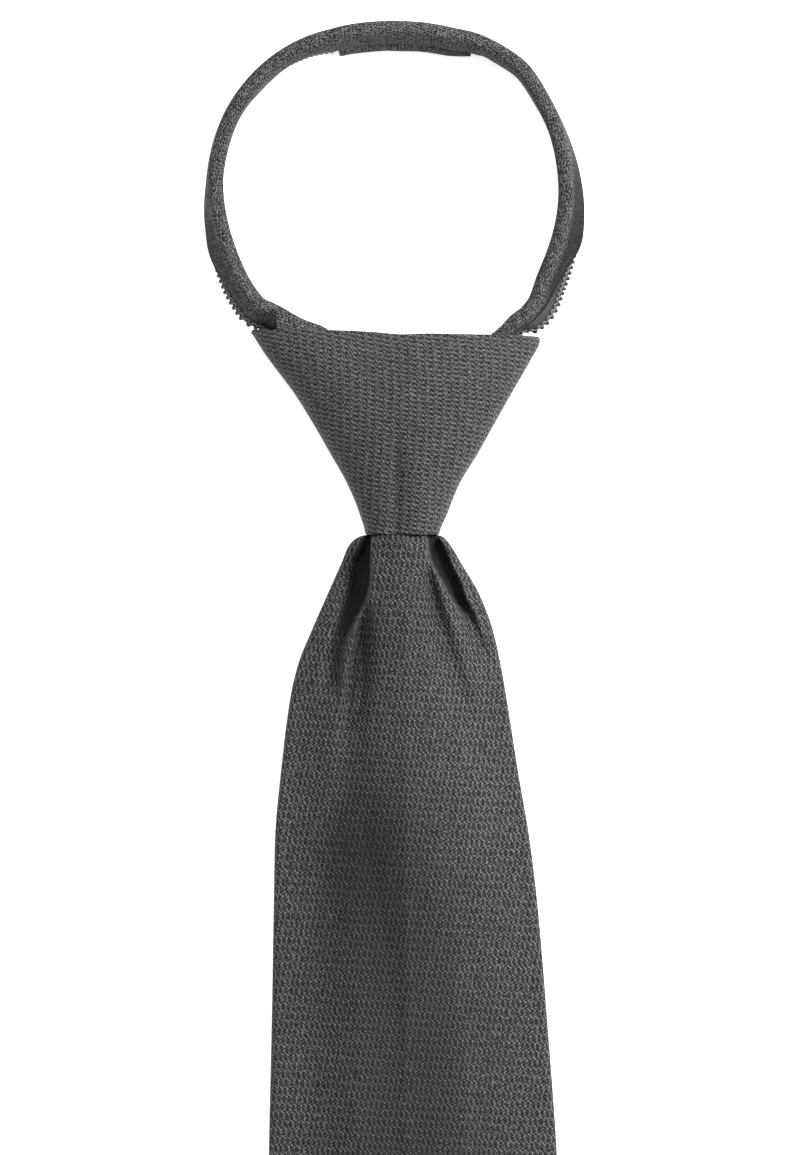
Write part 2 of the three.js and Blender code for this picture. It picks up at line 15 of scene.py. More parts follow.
import bpy
import numpy as np
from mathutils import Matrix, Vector


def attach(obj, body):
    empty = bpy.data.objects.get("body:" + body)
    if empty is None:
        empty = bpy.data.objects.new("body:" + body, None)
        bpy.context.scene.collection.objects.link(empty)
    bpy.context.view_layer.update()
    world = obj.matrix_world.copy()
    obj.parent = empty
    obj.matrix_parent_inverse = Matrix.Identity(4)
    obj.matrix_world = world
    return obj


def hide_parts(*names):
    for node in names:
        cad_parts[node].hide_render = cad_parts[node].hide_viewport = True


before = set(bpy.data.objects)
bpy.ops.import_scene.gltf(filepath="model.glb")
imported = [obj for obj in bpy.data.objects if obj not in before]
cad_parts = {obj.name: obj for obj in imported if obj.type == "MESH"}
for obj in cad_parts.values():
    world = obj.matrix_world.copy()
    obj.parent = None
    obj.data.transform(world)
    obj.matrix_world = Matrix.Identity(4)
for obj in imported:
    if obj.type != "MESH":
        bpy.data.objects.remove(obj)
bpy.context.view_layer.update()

MM = 0.001
PHOTO_SIZE = (800, 1155)  # pixels
PIXEL = 0.228  # millimetres across one pixel of the photograph
PHOTO_ORIGIN = (400, 430)  # the pixel at the origin of the tie
STITCH_PLACE = 100  # where the sewing thread starts in the coil's own coordinates
PAINTED_SHADE = "fold"  # the point attribute named fold, which holds painted shade: how much darker the cloth is painted in its folds and shaded parts, and painted light where it is below 0

Array = np.ndarray
Material = bpy.types.Material
Piece = bpy.types.Object
Colour = tuple[float, float, float]
Span = tuple[float, float]  # where something is 0 and where it is whole
Mound = tuple[float, float, float]  # a bell's height, its place and half its width
Speckle = tuple[float, float] | tuple[float, float, Colour]  # a noise's scale, detail, stretch
Swing = tuple[float, ...]  # a ripple's height, the length of one radian of it, and its phase
log = logging.getLogger("zipper_tie")


class Slot(Enum):
    """The record's finishes, one listed with each piece."""

    TIE_CLOTH = "tie_cloth"
    BAND_CLOTH = "band_cloth"
    ZIP_TAPE = "zip_tape"
    ZIP_COIL = "zip_coil"


class Table:
    """Rows of sizes with named columns, read as smooth curves between the rows."""

    def __init__(self, names: str, *rows: Sequence[float]) -> None:
        """Keeps the rows in order of their first column.

        Args:
            names: The columns' names, with a space between them.
            *rows: One tuple of numbers for each row.
        """
        data = np.array(sorted(rows), dtype=float).T
        self.place = data[0]
        self.columns = dict(zip(names.split()[1:], data[1:]))

    def read(self, names: str, place: Array | float) -> Array | list[Array]:
        """Reads one column or several at places along the first one.

        Args:
            names: The columns' names, with a space between them.
            place: Where to read them.

        Returns:
            The values of a single column, or a list with those of each column.
        """
        curves = [smooth(self.place, self.columns[name], place) for name in names.split()]
        return curves if len(curves) > 1 else curves[0]


def smooth(at: Array, values: Array, place: Array | float) -> Array:
    """Reads a curve that passes through its points without overshooting them.

    Args:
        at: The places of the points, rising.
        values: Their values.
        place: Where to read.

    Returns:
        The curve's values at place.
    """
    step = np.diff(at)
    rise = np.diff(values) / step
    product = rise[:-1] * rise[1:]
    total = np.where(product > 0, rise[:-1] + rise[1:], 1.0)
    slope = np.concatenate(([0.0], np.where(product > 0, 2 * product / total, 0.0), [0.0]))
    spot = np.clip(place, at[0], at[-1])
    i = np.clip(np.searchsorted(at, spot) - 1, 0, len(at) - 2)
    t = (spot - at[i]) / step[i]
    lift = values[i + 1] - values[i]
    start, end = slope[i] * step[i], slope[i + 1] * step[i]
    return values[i] + t * (start + t * (3 * lift - 2 * start - end + t * (start + end - 2 * lift)))


def ease(value: Array | float, none: float, whole: float) -> Array:
    """Goes smoothly from 0 at none to 1 at whole, which may be the smaller number."""
    t = np.clip((np.asarray(value, dtype=float) - none) / (whole - none), 0, 1)
    return t * t * (3 - 2 * t)


def within(value: Array, rise: Span, fall: Span) -> Array:
    """Rises from 0 to 1 along one span, and is back to 0 at the start of the other."""
    return ease(value, *rise) * ease(value, *fall)


def bell(distance: Array | float, half: Array | float, power: float = 2) -> Array:
    """Gives a bump of height 1, down to 0.37 at half; a higher power has steeper sides."""
    return np.exp(-(np.abs(np.asarray(distance) / half) ** power))


def mound(place: Array | float, height: float, middle: float, half: float) -> Array:
    """Gives a bell of some height round its middle."""
    return height * bell(place - middle, half)


def ripple(place: Array | float, height: float, radian: float, phase: float = 0) -> Array:
    """Gives a sine wave along some places."""
    return height * np.sin(place / radian + phase)


def squared(value: Array, power: float) -> Array:
    """Bends a sine or cosine so that it draws a rounded box where power is below 1."""
    return np.sign(value) * np.abs(value) ** power


def lengths(points: Array) -> Array:
    """Gives the distance run along each row of points, 0 in the first column."""
    steps = np.linalg.norm(np.diff(points, axis=1), axis=2)
    return np.concatenate([np.zeros((len(points), 1)), np.cumsum(steps, axis=1)], axis=1)


def wrapped(points: Array) -> Array:
    """Repeats the first column after the last one."""
    return np.concatenate([points, points[:, :1]], axis=1)


def laid_round(points: Array, along: Array) -> Array:
    """Gives a skin its cloth coordinates: the distance round it and the place along it.

    Args:
        points: Rows by columns by 3.
        along: Each row's place along the skin.

    Returns:
        Rows by columns by 2, with one more column.
    """
    run = lengths(wrapped(points))
    return np.stack([run, np.broadcast_to(along[:, None], run.shape)], axis=2)


def tube(path: Array, side: Array, radius: Array | float, sides: int) -> Array:
    """Puts a round section at each point of a path.

    Args:
        path: Points by 3.
        side: A direction roughly square to the path at each point.
        radius: The section's radius, or its radius at each point.
        sides: How many points go round.

    Returns:
        Points by sides by 3.
    """
    along = np.gradient(path, axis=0)
    along /= np.linalg.norm(along, axis=1, keepdims=True)
    first = side - along * np.sum(side * along, axis=1, keepdims=True)
    first /= np.linalg.norm(first, axis=1, keepdims=True)
    second = np.cross(along, first)
    turn = np.linspace(0, 2 * math.pi, sides, endpoint=False)[None, :, None]
    ring = first[:, None] * np.cos(turn) + second[:, None] * np.sin(turn)
    return path[:, None] + ring * np.reshape(radius, (-1, 1, 1))


def joined(angle: Array, *parts: tuple[Array | float, Array | float]) -> tuple[Array, Array]:
    """Joins the stretches of a section that is swept round the loop.

    Args:
        angle: The stations, as a column.
        *parts: The depths and the thicknesses of each stretch.

    Returns:
        The section's depths and thicknesses, stations by points.
    """
    spread = [np.broadcast_arrays(angle, *part)[1:] for part in parts]
    depth, thick = (np.concatenate(side, axis=1) for side in zip(*spread))
    return depth, thick


class Cloth:
    """A mesh in the making: grids of points with the cloth's own coordinates."""

    def __init__(self) -> None:
        """Starts with nothing in it."""
        self.points: list[Array] = []
        self.faces: list[tuple[int, ...]] = []
        self.places: list[Array] = []
        self.count = 0

    def grid(self, points: Array, cloth: Array, around: bool = False, ends: bool = False) -> None:
        """Adds a grid of faces.

        Args:
            points: Rows by columns by 3.
            cloth: Rows by columns by 2, the cloth's coordinates; around needs one more column.
            around: Whether the last column joins the first.
            ends: Whether the last row joins the first, which needs one more row in cloth.
        """
        rows, columns = points.shape[:2]
        first = self.count
        self.points.append(points.reshape(-1, 3))
        self.count += rows * columns
        for r in range(rows if ends else rows - 1):
            below = (r + 1) % rows
            for c in range(columns if around else columns - 1):
                right = (c + 1) % columns
                corners = (r, c), (r, right), (below, right), (below, c)
                self.faces.append(tuple(first + row * columns + column for row, column in corners))
                self.places.append(cloth[[r, r, r + 1, r + 1], [c, c + 1, c + 1, c]])

    def cap(self, ring: Array, cloth: Array, turned: bool = False) -> None:
        """Closes the end of a grid with a fan round the middle of its ring.

        Args:
            ring: The ring's points.
            cloth: Their cloth coordinates.
            turned: Whether the ring runs the other way round.
        """
        first, size = self.count, len(ring)
        self.points.append(np.vstack([ring, ring.mean(axis=0)]))
        self.count += size + 1
        middle = cloth[:size].mean(axis=0)
        for i in range(size):
            j = (i + 1) % size
            a, b = (j, i) if turned else (i, j)
            self.faces.append((first + a, first + b, first + size))
            self.places.append(np.array([cloth[a], cloth[b], middle]))

    def skin(self, points: Array, cloth: Array) -> Cloth:
        """Adds a closed skin: a grid that joins up all round, and a cap on each end.

        Args:
            points: Rows by columns by 3.
            cloth: Rows by columns by 2, with one more column.

        Returns:
            This mesh.
        """
        self.grid(points, cloth, around=True)
        self.cap(points[0], cloth[0], turned=True)
        self.cap(points[-1], cloth[-1])
        return self

    def make(self, name: str, material: Material, fold: Array | None = None) -> Piece:
        """Makes the Blender object.

        Args:
            name: The piece's name.
            material: Its finish.
            fold: The painted shade of each of the first points, 1 at most, and below 0 where
                painted light lightens it.

        Returns:
            The object, in the scene.
        """
        mesh = bpy.data.meshes.new(name)
        mesh.from_pydata((np.vstack(self.points) * MM).tolist(), [], self.faces)
        layer = mesh.uv_layers.new(name="cloth")
        layer.data.foreach_set("uv", np.vstack(self.places).astype(np.float32).ravel())
        mesh.materials.append(material)
        # painted shade and painted light, kept on the points for the cloth's material
        if fold is not None:
            depths = np.zeros(self.count, dtype=np.float32)
            depths[: fold.size] = fold.ravel()
            mesh.attributes.new(PAINTED_SHADE, "FLOAT", "POINT").data.foreach_set("value", depths)
        mesh.validate()
        mesh.shade_smooth()
        piece = bpy.data.objects.new(name, mesh)
        bpy.context.scene.collection.objects.link(piece)
        return piece


def volume(mesh: bpy.types.Mesh) -> float:
    """Gives the space inside a mesh, negative where its faces point inwards.

    Args:
        mesh: A closed mesh.

    Returns:
        The volume, negative where the faces point in.
    """
    mesh.calc_loop_triangles()
    points = np.empty(3 * len(mesh.vertices))
    mesh.vertices.foreach_get("co", points)
    faces = np.empty(3 * len(mesh.loop_triangles), dtype=int)
    mesh.loop_triangles.foreach_get("vertices", faces)
    first, second, third = points.reshape(-1, 3)[faces.reshape(-1, 3)].transpose(1, 0, 2)
    return float(np.sum(first * np.cross(second, third)) / 6)


def keep(piece: Piece, slot: Slot, *nodes: str) -> Piece:
    """Parents a piece to the root body and hides the CAD nodes it stands for, with its faces
    pointing out.

    Args:
        piece: The finished object.
        slot: The record's finish for it; not used.
        *nodes: The CAD nodes that it stands for.

    Returns:
        The piece.
    """
    if volume(piece.data) < 0:
        piece.data.flip_normals()
    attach(piece, "root")
    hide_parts(*nodes)
    log.info("%s: %d faces, replaces %s", piece.name, len(piece.data.polygons), ", ".join(nodes))
    return piece


class Wire:
    """A socket of a material, with arithmetic that adds the nodes it needs."""

    def __init__(self, shader: Shader, socket: bpy.types.NodeSocket) -> None:
        """Wraps a socket of a shader's tree."""
        self.shader = shader
        self.socket = socket

    def math(self, operation: str, *others: Wire | float) -> Wire:
        """Adds a Math node, or a Vector Math node on a vector.

        Args:
            operation: The node's operation.
            *others: Its further operands.

        Returns:
            The node's result.
        """
        kind = "ShaderNodeVectorMath" if self.socket.type == "VECTOR" else "ShaderNodeMath"
        inputs = dict(enumerate((self, *others)))
        return self.shader.node(kind, {"operation": operation}, inputs)

    def __add__(self, other: Wire | float) -> Wire:
        """Adds."""
        return self.math("ADD", other)

    __radd__ = __add__

    def __mul__(self, other: Wire | float) -> Wire:
        """Multiplies."""
        return self.math("MULTIPLY", other)

    __rmul__ = __mul__

    def __sub__(self, other: Wire | float) -> Wire:
        """Subtracts."""
        return self.math("SUBTRACT", other)

    def __rsub__(self, other: float) -> Wire:
        """Subtracts from a number."""
        return self * -1 + other

    def __pow__(self, other: float) -> Wire:
        """Raises to a power."""
        return self.math("POWER", other)

    def wave(self) -> Wire:
        """Gives the cosine of so many whole turns."""
        return (self * (2 * math.pi)).math("COSINE")

    def clamped(self) -> Wire:
        """Keeps the value between 0 and 1."""
        return self.math("MAXIMUM", 0.0).math("MINIMUM", 1.0)

    def blend(self, low: Colour, high: Colour) -> Wire:
        """Mixes two colours by this value.

        Args:
            low: The colour at 0.
            high: The colour at 1.

        Returns:
            The mixed colour.
        """
        settings = {"data_type": "RGBA", "blend_type": "MIX", "clamp_factor": True}
        colours = {0: self, 6: (*low, 1), 7: (*high, 1)}
        return self.shader.node("ShaderNodeMix", settings, colours, 2)


class Shader:
    """A material's node tree."""

    def __init__(self, name: str) -> None:
        """Starts an empty tree in a new material of that name.

        Args:
            name: The material's name.
        """
        self.material = bpy.data.materials.new(name)
        self.material.use_nodes = True
        self.tree = self.material.node_tree
        self.tree.nodes.clear()

    def node(self, kind: str, settings: dict, inputs: dict, output: int | str = 0) -> Wire:
        """Adds a node.

        Args:
            kind: Blender's name for the node's type.
            settings: Its properties, set first.
            inputs: Values or wires by socket name or number.
            output: The socket that is wanted.

        Returns:
            That output.
        """
        made = self.tree.nodes.new(kind)
        for key, value in settings.items():
            setattr(made, key, value)
        for key, value in inputs.items():
            if isinstance(value, Wire):
                self.tree.links.new(value.socket, made.inputs[key])
            else:
                made.inputs[key].default_value = value
        return Wire(self, made.outputs[output])

    def place(self) -> tuple[Wire, Wire]:
        """Gives the cloth's own coordinates in millimetres, across and along the warp."""
        uv = self.node("ShaderNodeUVMap", {"uv_map": "cloth"}, {})
        parts = self.node("ShaderNodeSeparateXYZ", {}, {0: uv})
        return parts, Wire(self, parts.socket.node.outputs[1])

    def noise(self, scale: float, detail: float = 2, stretch: Colour = (1, 1, 1)) -> Wire:
        """Adds a noise in the object's own space.

        Args:
            scale: Features to a metre.
            detail: Octaves of finer noise.
            stretch: How much closer the features are on each axis.

        Returns:
            The noise, from 0 to 1.
        """
        spot = self.node("ShaderNodeTexCoord", {}, {}, "Object").math("MULTIPLY", stretch)
        inputs = {"Vector": spot, "Scale": scale, "Detail": detail, "Roughness": 0.55}
        return self.node("ShaderNodeTexNoise", {}, inputs)

    def bump(self, height: Wire, strength: float, reach: float) -> Wire:
        """Raises the surface by up to reach millimetres where height is 1."""
        inputs = {"Strength": strength, "Distance": reach * MM, "Height": height}
        return self.node("ShaderNodeBump", {}, inputs)

    def finish(self, inputs: dict) -> Material:
        """Ends the tree with a Principled shader.

        Args:
            inputs: The shader's sockets.

        Returns:
            The material.
        """
        shaded = self.node("ShaderNodeBsdfPrincipled", {}, inputs)
        output = self.tree.nodes.new("ShaderNodeOutputMaterial")
        self.tree.links.new(shaded.socket, output.inputs["Surface"])
        return self.material


@dataclass(frozen=True)
class Ripple:
    """One of the waves that add up to the weave's net."""

    columns: int  # how often it repeats for each column of pits
    rows: int  # and for each row of them
    strength: float
    phase: float = 0  # in whole turns


@dataclass(frozen=True)
class Weave:
    """Anthracite microfibre: a light net of threads over rows of small dark pits."""

    name: str
    ripples: tuple[Ripple, ...]
    column: float = 1.2  # between pits across the warp
    row: float = 1.9  # between rows of pits along the warp
    shift: float = 0.26  # of a column, from one row to the next
    skew: float = 0.03  # rows climbed for each millimetre across
    stray: tuple[float, float] = (0.3, 0.2)  # of the net, in columns and in rows
    stray_noise: Speckle = (420, 2)
    level: float = 0.44  # of the threads, before the net and the grain raise or lower them
    contrast: float = 0.125
    grain: float = 1.7
    grain_noise: Speckle = (2700, 1, (1.25, 0.8, 1))
    patches: float = 0.24  # how much the tone changes over the cloth
    patch_noise: Speckle = (60, 3)
    # the pits' colour: the weave's dark low threads together with painted shade in the pits
    pit_shade: Colour = (0.006, 0.006, 0.0063)
    thread: Colour = (0.14, 0.141, 0.146)
    relief: float = 0.16
    roughness: float = 0.67  # of the pits
    polish: float = 0.2  # how much less rough the threads are
    shine: float = 0.09
    fuzz: float = 0.01
    fuzz_roughness: float = 0.4
    fuzz_tint: tuple[float, float, float, float] = (0.8, 0.83, 0.88, 1)

    def net(self, a: Wire, b: Wire) -> Wire:
        """Adds up the waves of the net.

        Args:
            a: Columns of pits counted across.
            b: Rows of pits counted along.

        Returns:
            The sum, about 3 at its highest.
        """
        first, *others = (
            (a * ripple.columns + b * ripple.rows + ripple.phase).wave() * ripple.strength
            for ripple in self.ripples
        )
        return sum(others, first)

    def material(self) -> Material:
        """Makes the material.

        Returns:
            The material.
        """
        shader = Shader(self.name)
        across, along = shader.place()
        wobble = shader.noise(*self.stray_noise) - 0.5
        a = across * (1 / self.column) - along * (self.shift / self.row) + wobble * self.stray[0]
        b = along * (1 / self.row) + across * self.skew + wobble * self.stray[1]
        grain = shader.noise(*self.grain_noise) - 0.5
        height = self.net(a, b) * self.contrast + grain * self.grain + self.level
        height = height.clamped()
        patch = shader.noise(*self.patch_noise) * self.patches + (1 - self.patches / 2)
        # painted shade from the fold attribute darkens the tone, and painted light lightens it
        # where the attribute is below 0
        fold = shader.node("ShaderNodeAttribute", {"attribute_name": PAINTED_SHADE}, {}, "Fac")
        # the squared height darkens the pits, partly painted shade, and brightens the thread tops,
        # partly painted highlight
        tone = (height**2 * patch * (1 - fold)).clamped()
        return shader.finish(
            {
                "Base Color": tone.blend(self.pit_shade, self.thread),
                "Roughness": self.roughness - height * self.polish,
                "Specular IOR Level": self.shine,
                "Sheen Weight": self.fuzz,
                "Sheen Roughness": self.fuzz_roughness,
                "Sheen Tint": self.fuzz_tint,
                "Normal": shader.bump(height, 1.0, self.relief),
            }
        )


BLADE_NET = (
    Ripple(1, 0, 1),
    Ripple(1, 1, 1.15),
    Ripple(0, 1, 0.5, -0.4),
    Ripple(1, 2, 0.7, 0.5),
    Ripple(1, -2, 0.85, -0.45),
    Ripple(1, 3, 0.8, 0.15),
    Ripple(2, -1, 0.8, 0.36),
    Ripple(2, 0, 0.35),
)
KNOT_NET = (
    Ripple(1, 0, 1),
    Ripple(1, -1, 0.8),
    Ripple(0, -1, 0.45, 0.25),
    Ripple(1, 1, 0.55, 0.25),
    Ripple(1, -2, 0.85, -0.33),
    Ripple(2, 0, 0.4, -0.07),
    Ripple(2, -1, 0.7, 0.37),
    Ripple(2, -2, 0.35, -0.22),
)


@dataclass(frozen=True)
class Tape:
    """Dark woven zipper tape with narrow lengthwise ribs."""

    name: str = "zip tape weave"
    rib: float = 0.7
    pick: float = 0.5
    pick_shift: float = 0.25  # of the picks, from the top of a rib to its foot
    raised: float = 0.3  # how much ribs and picks each stand out
    grain: float = 0.4
    grain_noise: Speckle = (1800, 1)
    dark: Colour = (0.012, 0.012, 0.013)
    light: Colour = (0.03, 0.03, 0.031)
    roughness: float = 0.86
    polish: float = 0.12  # how much less rough the ribs are
    fuzz: float = 0.1
    bump: tuple[float, float] = (0.8, 0.1)  # its strength and its reach

    def material(self) -> Material:
        """Makes the material.

        Returns:
            The material.
        """
        shader = Shader(self.name)
        across, along = shader.place()
        rib = (across * (1 / self.rib)).wave()
        pick = (along * (1 / self.pick) + rib * self.pick_shift).wave()
        grain = shader.noise(*self.grain_noise) - 0.5
        height = (rib * self.raised + pick * self.raised + grain * self.grain + 0.5).clamped()
        return shader.finish(
            {
                "Base Color": height.blend(self.dark, self.light),
                "Roughness": self.roughness - height * self.polish,
                "Sheen Weight": self.fuzz,
                "Normal": shader.bump(height, *self.bump),
            }
        )


@dataclass(frozen=True)
class Nylon:
    """The moulded monofilament of the zipper's coil, and the thread sewn over it."""

    name: str = "zip coil nylon"
    dark: Colour = (0.012, 0.012, 0.013)
    stitch: Colour = (0.15, 0.15, 0.155)
    scuffed: float = 0.25  # how far scuffs lighten the nylon towards the thread's grey
    scuff_noise: Speckle = (900, 3)
    roughness: float = 0.26
    rougher: float = 0.2  # where it is scuffed
    bump: tuple[float, float] = (0.3, 0.03)

    def material(self) -> Material:
        """Makes the material.

        Returns:
            The material.
        """
        shader = Shader(self.name)
        scuff = shader.noise(*self.scuff_noise)
        sewn = (shader.place()[0] - (STITCH_PLACE - 1)).clamped()
        tone = (scuff * self.scuffed * (1 - sewn) + sewn).clamped()
        return shader.finish(
            {
                "Base Color": tone.blend(self.dark, self.stitch),
                "Roughness": scuff * self.rougher + self.roughness,
                "Normal": shader.bump(scuff, *self.bump),
            }
        )


@dataclass(frozen=True)
class PaintedMetal:
    """Dark paint over the slider's cast metal, rubbed brighter in places."""

    name: str = "slider paint"
    paint: Colour = (0.02, 0.02, 0.021)
    rubbed: Colour = (0.16, 0.16, 0.165)
    wear_noise: Speckle = (500, 4)
    wear_from: float = 0.58  # the noise at which the paint is rubbed
    wear_edge: float = 6  # how sharp the rubbed patches' edges are
    metal: float = 0.8
    cast_noise: Speckle = (2200, 2)
    roughness: float = 0.32
    rougher: float = 0.2  # in the casting's grain
    bump: tuple[float, float] = (0.4, 0.05)

    def material(self) -> Material:
        """Makes the material.

        Returns:
            The material.
        """
        shader = Shader(self.name)
        wear = ((shader.noise(*self.wear_noise) - self.wear_from) * self.wear_edge).clamped()
        cast = shader.noise(*self.cast_noise)
        return shader.finish(
            {
                "Base Color": wear.blend(self.paint, self.rubbed),
                "Metallic": wear * self.metal,
                "Roughness": cast * self.rougher + self.roughness,
                "Normal": shader.bump(cast, *self.bump),
            }
        )


@dataclass(frozen=True)
class Sweep:
    """The plain white sheet that the tie lies on, which glows so that no shadow shows on it."""

    name: str = "studio sweep"
    white: float = 0.93
    glow: float = 0.6
    patches: float = 0.01  # how much darker it is in places
    roughness: float = 0.9
    shine: float = 0.1

    def material(self) -> Material:
        """Makes the material.

        Returns:
            The material.
        """
        shader = Shader(self.name)
        tone = shader.noise(3, 1).blend((self.white - self.patches,) * 3, (self.white,) * 3)
        return shader.finish(
            {
                "Base Color": tone,
                "Roughness": self.roughness,
                "Specular IOR Level": self.shine,
                "Emission Color": (1, 1, 1, 1),
                "Emission Strength": self.glow,
            }
        )


KNOT_SECTIONS = Table(
    "y left right front side back",
    (22, -34.2, 31.9, 17, 7, -0.5),
    (20.5, -33.2, 31.8, 18.2, 7.3, -0.7),
    (18.2, -31.5, 31, 19, 7.8, -0.8),
    (14.8, -29, 29.2, 19.8, 8.3, -0.9),
    (8, -23.9, 25.3, 20.2, 8.7, -0.9),
    (1.1, -19.6, 21.4, 19.8, 8.8, -0.9),
    (-5.7, -15.7, 17.6, 18.8, 8.5, -0.8),
    (-12.5, -11.9, 13.5, 17.6, 8.2, -0.7),
    (-19.4, -9.1, 10.7, 16.4, 7.9, -0.6),
    (-24, -7.9, 9, 15.6, 7.8, -0.5),
)
KNOT_SWELLS = (
    Table("y x rise", (-7, -1, 0), (1, -5.7, 0.28), (15.5, -17.3, 0.25), (21, -23, 0)),
    Table(
        "y x rise",
        (-24, 4, 0.3),
        (-15.3, 3.9, 0.6),
        (-6.6, 3.4, 0.6),
        (7.8, 15.3, 0.5),
        (18, 24, 0),
    ),
)


@dataclass
class Knot:
    """The fixed knot: a flattened cloth sleeve, turned in at its top and at its mouth."""

    material: Material
    sections: Table = KNOT_SECTIONS
    swells: tuple[Table, ...] = KNOT_SWELLS  # the soft folds' ridges
    swell_half: float = 3.4
    top: float = 22
    mouth: float = -24
    wall: float = 1.4
    front_round: float = 2.7  # exponents of the section
    back_round: float = 4.5
    fill: float = 0.5
    front_span: Span = (0, 0.6)  # of the section's height, over which the folds set in
    crease: Mound = (0.4, -0.9, 0.75)  # across, the sharp line down to the mouth
    crease_span: Span = (5, -4)
    valley: Mound = (0.45, -0.9, 3)  # across, the soft fold round it
    valley_span: Span = (12, -18)
    dent: Mound = (0.35, 15.5, 4)  # along the same line, the dip near the top
    edge_waves: tuple[Mound, ...] = ((0.2, -16, 9), (-0.4, 0, 4.5))
    edge_low: float = 0.15
    edge_slope: float = 0.025
    edge_reach: float = 6  # how far down the wave of the top edge is felt
    shade: Mound = (0.1, -3, 5)  # painted shade across the knot, darker where the folds meet
    shade_span: Span = (-26, 2)
    sag: float = 0.06  # of the cloth's rows, for each millimetre from the crease
    sag_round: tuple[float, float] = (1, 6)  # the middle of the V of its rows, and its radius
    stretch: float = 1.12
    rows: int = 100
    columns: int = 220
    lip_steps: int = 6

    def outline(self, y: float) -> Array:
        """Gives the sleeve's section at a height on the tie.

        Args:
            y: The place along the tie.

        Returns:
            Columns by 2, evenly spaced x and z, from the middle of the back round by the right.
        """
        left, right, front, side, back = self.sections.read("left right front side back", y)
        turn = np.linspace(-math.pi / 2, 1.5 * math.pi, 2401)
        over = np.sin(turn) > 0
        power = 2 / np.where(over, self.front_round, self.back_round)
        x = (left + right) / 2 + (right - left) / 2 * squared(np.cos(turn), power)
        rise = squared(np.sin(turn), power)
        z = side + np.where(over, front - side, side - back) * rise
        z = np.maximum(z - np.where(over, self.pressed(x, y) * ease(rise, *self.front_span), 0), 0)
        run = np.concatenate([[0], np.cumsum(np.hypot(np.diff(x), np.diff(z)))])
        even = np.linspace(0, run[-1], self.columns, endpoint=False)
        return np.stack([np.interp(even, run, x), np.interp(even, run, z)], axis=1)

    def pressed(self, x: Array, y: float) -> Array:
        """Gives how far the front is pressed in: the crease down to the mouth and the soft folds.

        Args:
            x: Places across the knot.
            y: The place along the tie.

        Returns:
            The depths.
        """
        line = mound(x, *self.crease) * ease(y, *self.crease_span)
        valley = mound(x, *self.valley) * ease(y, *self.valley_span)
        dent = mound(y, *self.dent) * bell(x - self.valley[1], self.valley[2])
        swells = (mound(x, *swell.read("rise x", y), self.swell_half) for swell in self.swells)
        return line + valley + dent - sum(swells)

    def inset(self, ring: Array) -> Array:
        """Moves a section inwards by the wall."""
        along = np.roll(ring, -1, axis=0) - np.roll(ring, 1, axis=0)
        along /= np.linalg.norm(along, axis=1, keepdims=True)
        return ring + self.wall * np.stack([-along[:, 1], along[:, 0]], axis=1)

    def place(self, ring: Array, y: float) -> Array:
        """Puts a section on the tie, with the slow wave of its top edge.

        Args:
            ring: x and z of each point.
            y: The section's height.

        Returns:
            The points.
        """
        x = ring[:, 0]
        wave = sum(mound(x, *wave) for wave in self.edge_waves)
        wave -= self.edge_low + self.edge_slope * x
        wave *= ease(y, self.top - self.edge_reach, self.top)
        return np.stack([x, y + wave, ring[:, 1]], axis=1)

    def lip(self, outside: Array, inside: Array, rise: float) -> list[Array]:
        """Rounds the sleeve's rim.

        Args:
            outside: The outer ring.
            inside: The inner ring.
            rise: How far the rim stands past the rings, negative at the mouth.

        Returns:
            The rings between them.
        """
        middle, reach = (outside + inside) / 2, (outside - inside) / 2
        turns = np.linspace(0, math.pi, self.lip_steps + 2)[1:-1]
        return [middle + reach * math.cos(t) + np.array([0, rise * math.sin(t), 0]) for t in turns]

    def cloth(self, points: Array) -> Array:
        """Lays the cloth round the knot, its rows hanging in a shallow V towards the crease.

        Args:
            points: The knot's rings.

        Returns:
            Cloth coordinates, with one more row and column.
        """
        closed = wrapped(points)
        run = lengths(closed)
        middle, radius = self.sag_round
        hung = closed[:, :, 1] - self.sag * np.hypot(closed[:, :, 0] - middle, radius)
        laid = np.stack([hung * self.stretch, run - run[:, -1:] / 2], axis=2)
        return np.concatenate([laid, laid[:1]], axis=0)

    def build(self) -> None:
        """Builds the knot."""
        half = self.wall / 2
        stations = np.linspace(self.mouth + half, self.top - half, self.rows)
        sections = [self.outline(y) for y in stations]
        outside = [self.place(ring, y) for ring, y in zip(sections, stations)]
        inside = [self.place(self.inset(ring), y) for ring, y in zip(sections, stations)]
        top = self.lip(outside[-1], inside[-1], half)
        mouth = self.lip(inside[0], outside[0], -half)
        points = np.array([*outside, *top, *reversed(inside), *mouth])
        cloth = Cloth()
        cloth.grid(points, self.cloth(points), around=True, ends=True)
        # painted shade down the knot's middle, where its folds meet
        shade = mound(points[:, :, 0], *self.shade) * ease(points[:, :, 1], *self.shade_span)
        piece = cloth.make("knot_cloth", self.material, shade)
        keep(piece, Slot.TIE_CLOTH, "knot")


class Hollow(Table):
    """A fold's valley pressed into the blade, steeper on one side than on the other."""

    def __init__(self, powers: tuple[float, float], *rows: Sequence[float]) -> None:
        """Keeps the valley's rows and how square its two sides are.

        Args:
            powers: The exponents of its left and right sides.
            *rows: The place along the blade, then x, depth, and the two sides' widths.
        """
        super().__init__("y x depth left right", *rows)
        self.powers = powers

    def depth(self, x: Array, y: float) -> Array:
        """Gives how far the valley is pressed in.

        Args:
            x: Places across the blade.
            y: The place along it.

        Returns:
            The depths.
        """
        if not self.place[0] <= y <= self.place[-1]:
            return np.zeros_like(x)
        centre, depth, left, right = self.read("x depth left right", y)
        off = x - centre
        sides = bell(off, left, self.powers[0]), bell(off, right, self.powers[1])
        return depth * np.where(off < 0, *sides)


TAIL_SECTIONS = Table(
    "y x under half",
    (-8.9, 0.5, 2.3, 6),
    (-25, 0.5, 2.2, 6),
    (-31, 0.6, 0.9, 8),
    (-37, 0.7, 0, 9.2),
    (-130, 1.6, 0, 9.2),
    (-232, 2.6, 0, 9.2),
)


